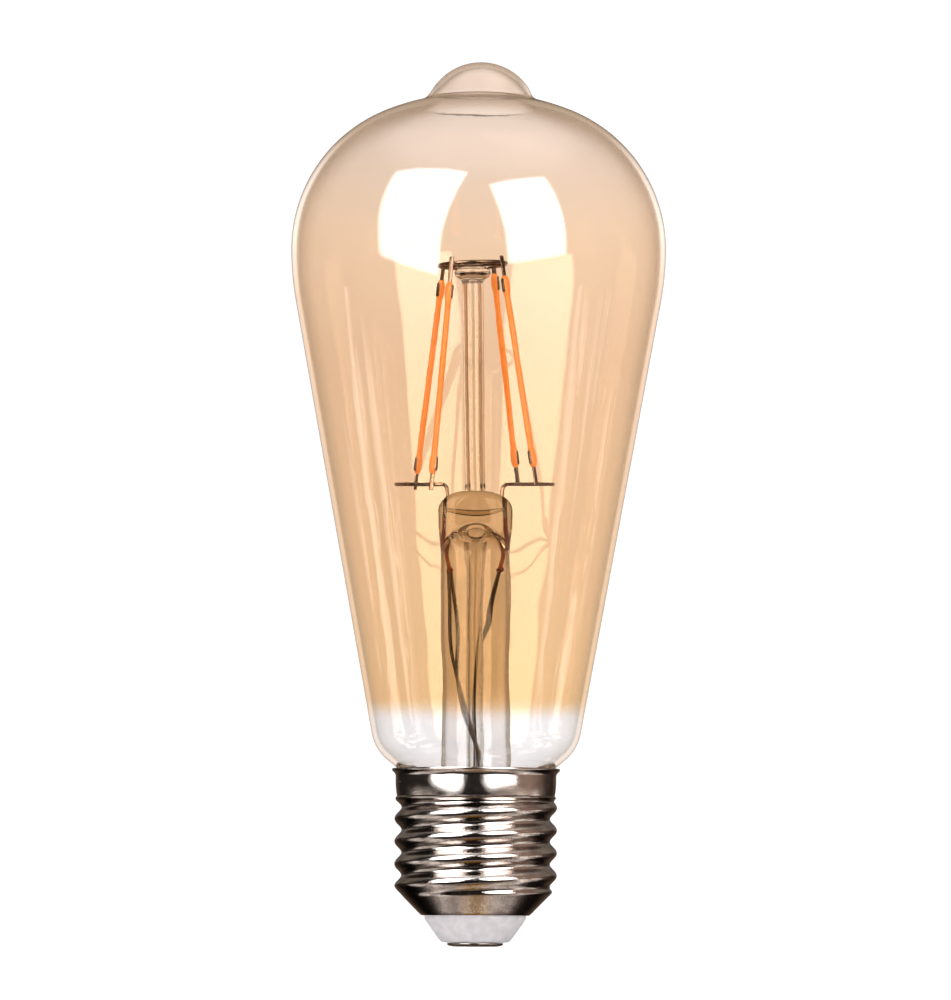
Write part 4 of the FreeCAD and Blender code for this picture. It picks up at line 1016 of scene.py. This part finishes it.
def make_floor():
    """Pale matt ground. Its own glow makes it pure white where it is seen at a grazing angle,
    as at the photograph's height; from above it stays pale and takes the bulb's shadow."""
    half = FLOOR_HALF
    verts = [(-half, -half, 0), (half, -half, 0), (half, half, 0), (-half, half, 0)]
    mesh = bpy.data.meshes.new("floor")
    mesh.from_pydata(verts, [], [(0, 1, 2, 3)])
    floor = bpy.data.objects.new("floor", mesh)
    floor.location.z = FLOOR_Z
    bpy.context.scene.collection.objects.link(floor)
    material, n = new_material("floor_white")
    n.principled(Base_Color=(0.8, 0.8, 0.8, 1), Roughness=0.9, Emission_Color=(1, 1, 1, 1),
                 Emission_Strength=n.spread(n.facing(), 0.9, 0.985, 0.02, 0.5))
    mesh.materials.append(material)
    floor.visible_glossy = False
    floor.visible_transmission = False


def make_lights():
    for name, azimuth, elevation, energy, size in LIGHTS:
        light = bpy.data.lights.new(name, "AREA")
        light.energy = energy
        light.size = size
        lamp = bpy.data.objects.new(name, light)
        lamp.location = AIM + direction(azimuth, elevation) * LIGHT_DISTANCE
        lamp.rotation_euler = (AIM - lamp.location).to_track_quat("-Z", "Y").to_euler()
        lamp.visible_camera = False
        lamp.visible_glossy = False
        lamp.visible_transmission = False
        bpy.context.scene.collection.objects.link(lamp)


def make_camera():
    data = bpy.data.cameras.new("camera")
    data.lens = CAMERA_LENS
    data.sensor_width = 36
    data.clip_start = 0.01
    camera = bpy.data.objects.new("camera", data)
    level = Matrix.Rotation(math.pi / 2 + math.radians(CAMERA_PITCH), 4, "X")
    camera.matrix_world = (Matrix.Translation(CAMERA_PLACE) @ level
                           @ Matrix.Rotation(math.radians(CAMERA_ROLL), 4, "Z"))
    bpy.context.scene.collection.objects.link(camera)
    bpy.context.scene.camera = camera


def set_scene():
    scene = bpy.context.scene
    scene.view_settings.view_transform = "Standard"
    scene.view_settings.look = "None"
    scene.cycles.max_bounces = 32
    scene.cycles.transmission_bounces = 32
    scene.cycles.glossy_bounces = 8
    scene.cycles.diffuse_bounces = 3
    scene.cycles.blur_glossy = 0.0


CARRIED = {
    # finish: the CAD nodes that stay as they are and take it
    "board": ["driver_board", "radio_module"],
    "gold": ["trace_antenna"],
    "tin": ["radio_can", "radio_crystal"],
    "package": ["bridge_rectifier", "driver_chip", "surface_mount_parts", "filter_inductor"],
    "sleeve": ["filter_capacitor"],
    "resistor": ["fusible_resistor"],
    "solder": ["strand_solder", "contact_solder", "shell_solder"],
    "strand": ["contact_wire", "shell_wire"],
    "carrier": [name + "_carrier_strip" for name in FILAMENTS],
    "chip": [name + "_led_chips" for name in FILAMENTS],
}


def make_finishes():
    return {
        "amber": amber_glass(),
        "clear": clear_glass("clear_glass", (0.94, 0.925, 0.9)),
        # The stem's dark rim tone is painted shade: over the press it starts at a low facing and
        # darkens most of it.
        "stem": clear_glass("stem_glass", (0.94, 0.93, 0.93), smoky=(0.84, 0.79, 0.69),
                            rim=(0.16, 0.11, 0.06), edge_shade_start=0.15, ior=1.36),
        "nickel": metal("nickel_wire", (0.34, 0.29, 0.25), (0.15, 0.12, 0.1), (0.2, 0.4)),
        "dumet": metal("dumet_wire", (0.38, 0.13, 0.065), (0.2, 0.06, 0.03), (0.25, 0.4)),
        "strand": metal("strand_wire", (0.18, 0.145, 0.12), (0.08, 0.065, 0.055), (0.3, 0.5)),
        "cap": metal("nickel_plate", (0.64, 0.58, 0.54), (0.46, 0.4, 0.37), (0.07, 0.13),
                     grain=6000, relief=0.12, wear=260, rim=0.2),
        "brass": metal("contact_plate", (0.28, 0.25, 0.23), (0.2, 0.175, 0.16), (0.15, 0.3)),
        "tin": metal("tin_plate", (0.7, 0.7, 0.68), (0.55, 0.55, 0.53), (0.25, 0.4)),
        "gold": metal("gilt_trace", (0.9, 0.68, 0.3), (0.75, 0.52, 0.2), (0.2, 0.35)),
        "solder": metal("solder", (0.72, 0.72, 0.72), (0.5, 0.5, 0.5), (0.2, 0.4)),
        "insulator": matt("glazed_insulator", (0.86, 0.82, 0.845), (0.73, 0.7, 0.715),
                          (0.4, 0.55), relief=0.3, wear=700),
        "cement": matt("capping_cement", (0.19, 0.12, 0.07), (0.12, 0.075, 0.045),
                       (0.6, 0.85), relief=0.4),
        "package": matt("black_package", (0.03, 0.03, 0.032), (0.015, 0.015, 0.016), (0.4, 0.6)),
        "sleeve": matt("capacitor_sleeve", (0.03, 0.04, 0.08), (0.02, 0.025, 0.05), (0.3, 0.45)),
        "resistor": matt("resistor_lacquer", (0.1, 0.3, 0.4), (0.07, 0.22, 0.3), (0.35, 0.5)),
        "carrier": matt("filament_carrier", (0.8, 0.78, 0.72), (0.7, 0.68, 0.62), (0.4, 0.6)),
        "chip": matt("led_chip", (0.35, 0.3, 0.6), (0.25, 0.22, 0.5), (0.2, 0.35)),
        "board": circuit_board(),
        "phosphor": phosphor(),
    }


def dress_carried(finishes):
    for finish, nodes in CARRIED.items():
        for node in nodes:
            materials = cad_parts[node].data.materials
            materials.clear()
            materials.append(finishes[finish])


def build():
    set_scene()
    make_camera()
    make_world()
    make_floor()
    make_lights()
    finishes = make_finishes()
    make_envelope(finishes["amber"])
    make_mount_glass(finishes["clear"])
    make_stem(finishes["stem"])
    make_ring_and_bar(finishes["nickel"])
    make_leads(finishes["nickel"], finishes["dumet"], finishes["strand"])
    make_filaments(finishes["phosphor"], finishes["nickel"])
    make_cap(finishes["cap"])
    make_cap_ends(finishes["insulator"], finishes["brass"], finishes["cement"])
    dress_carried(finishes)


build()
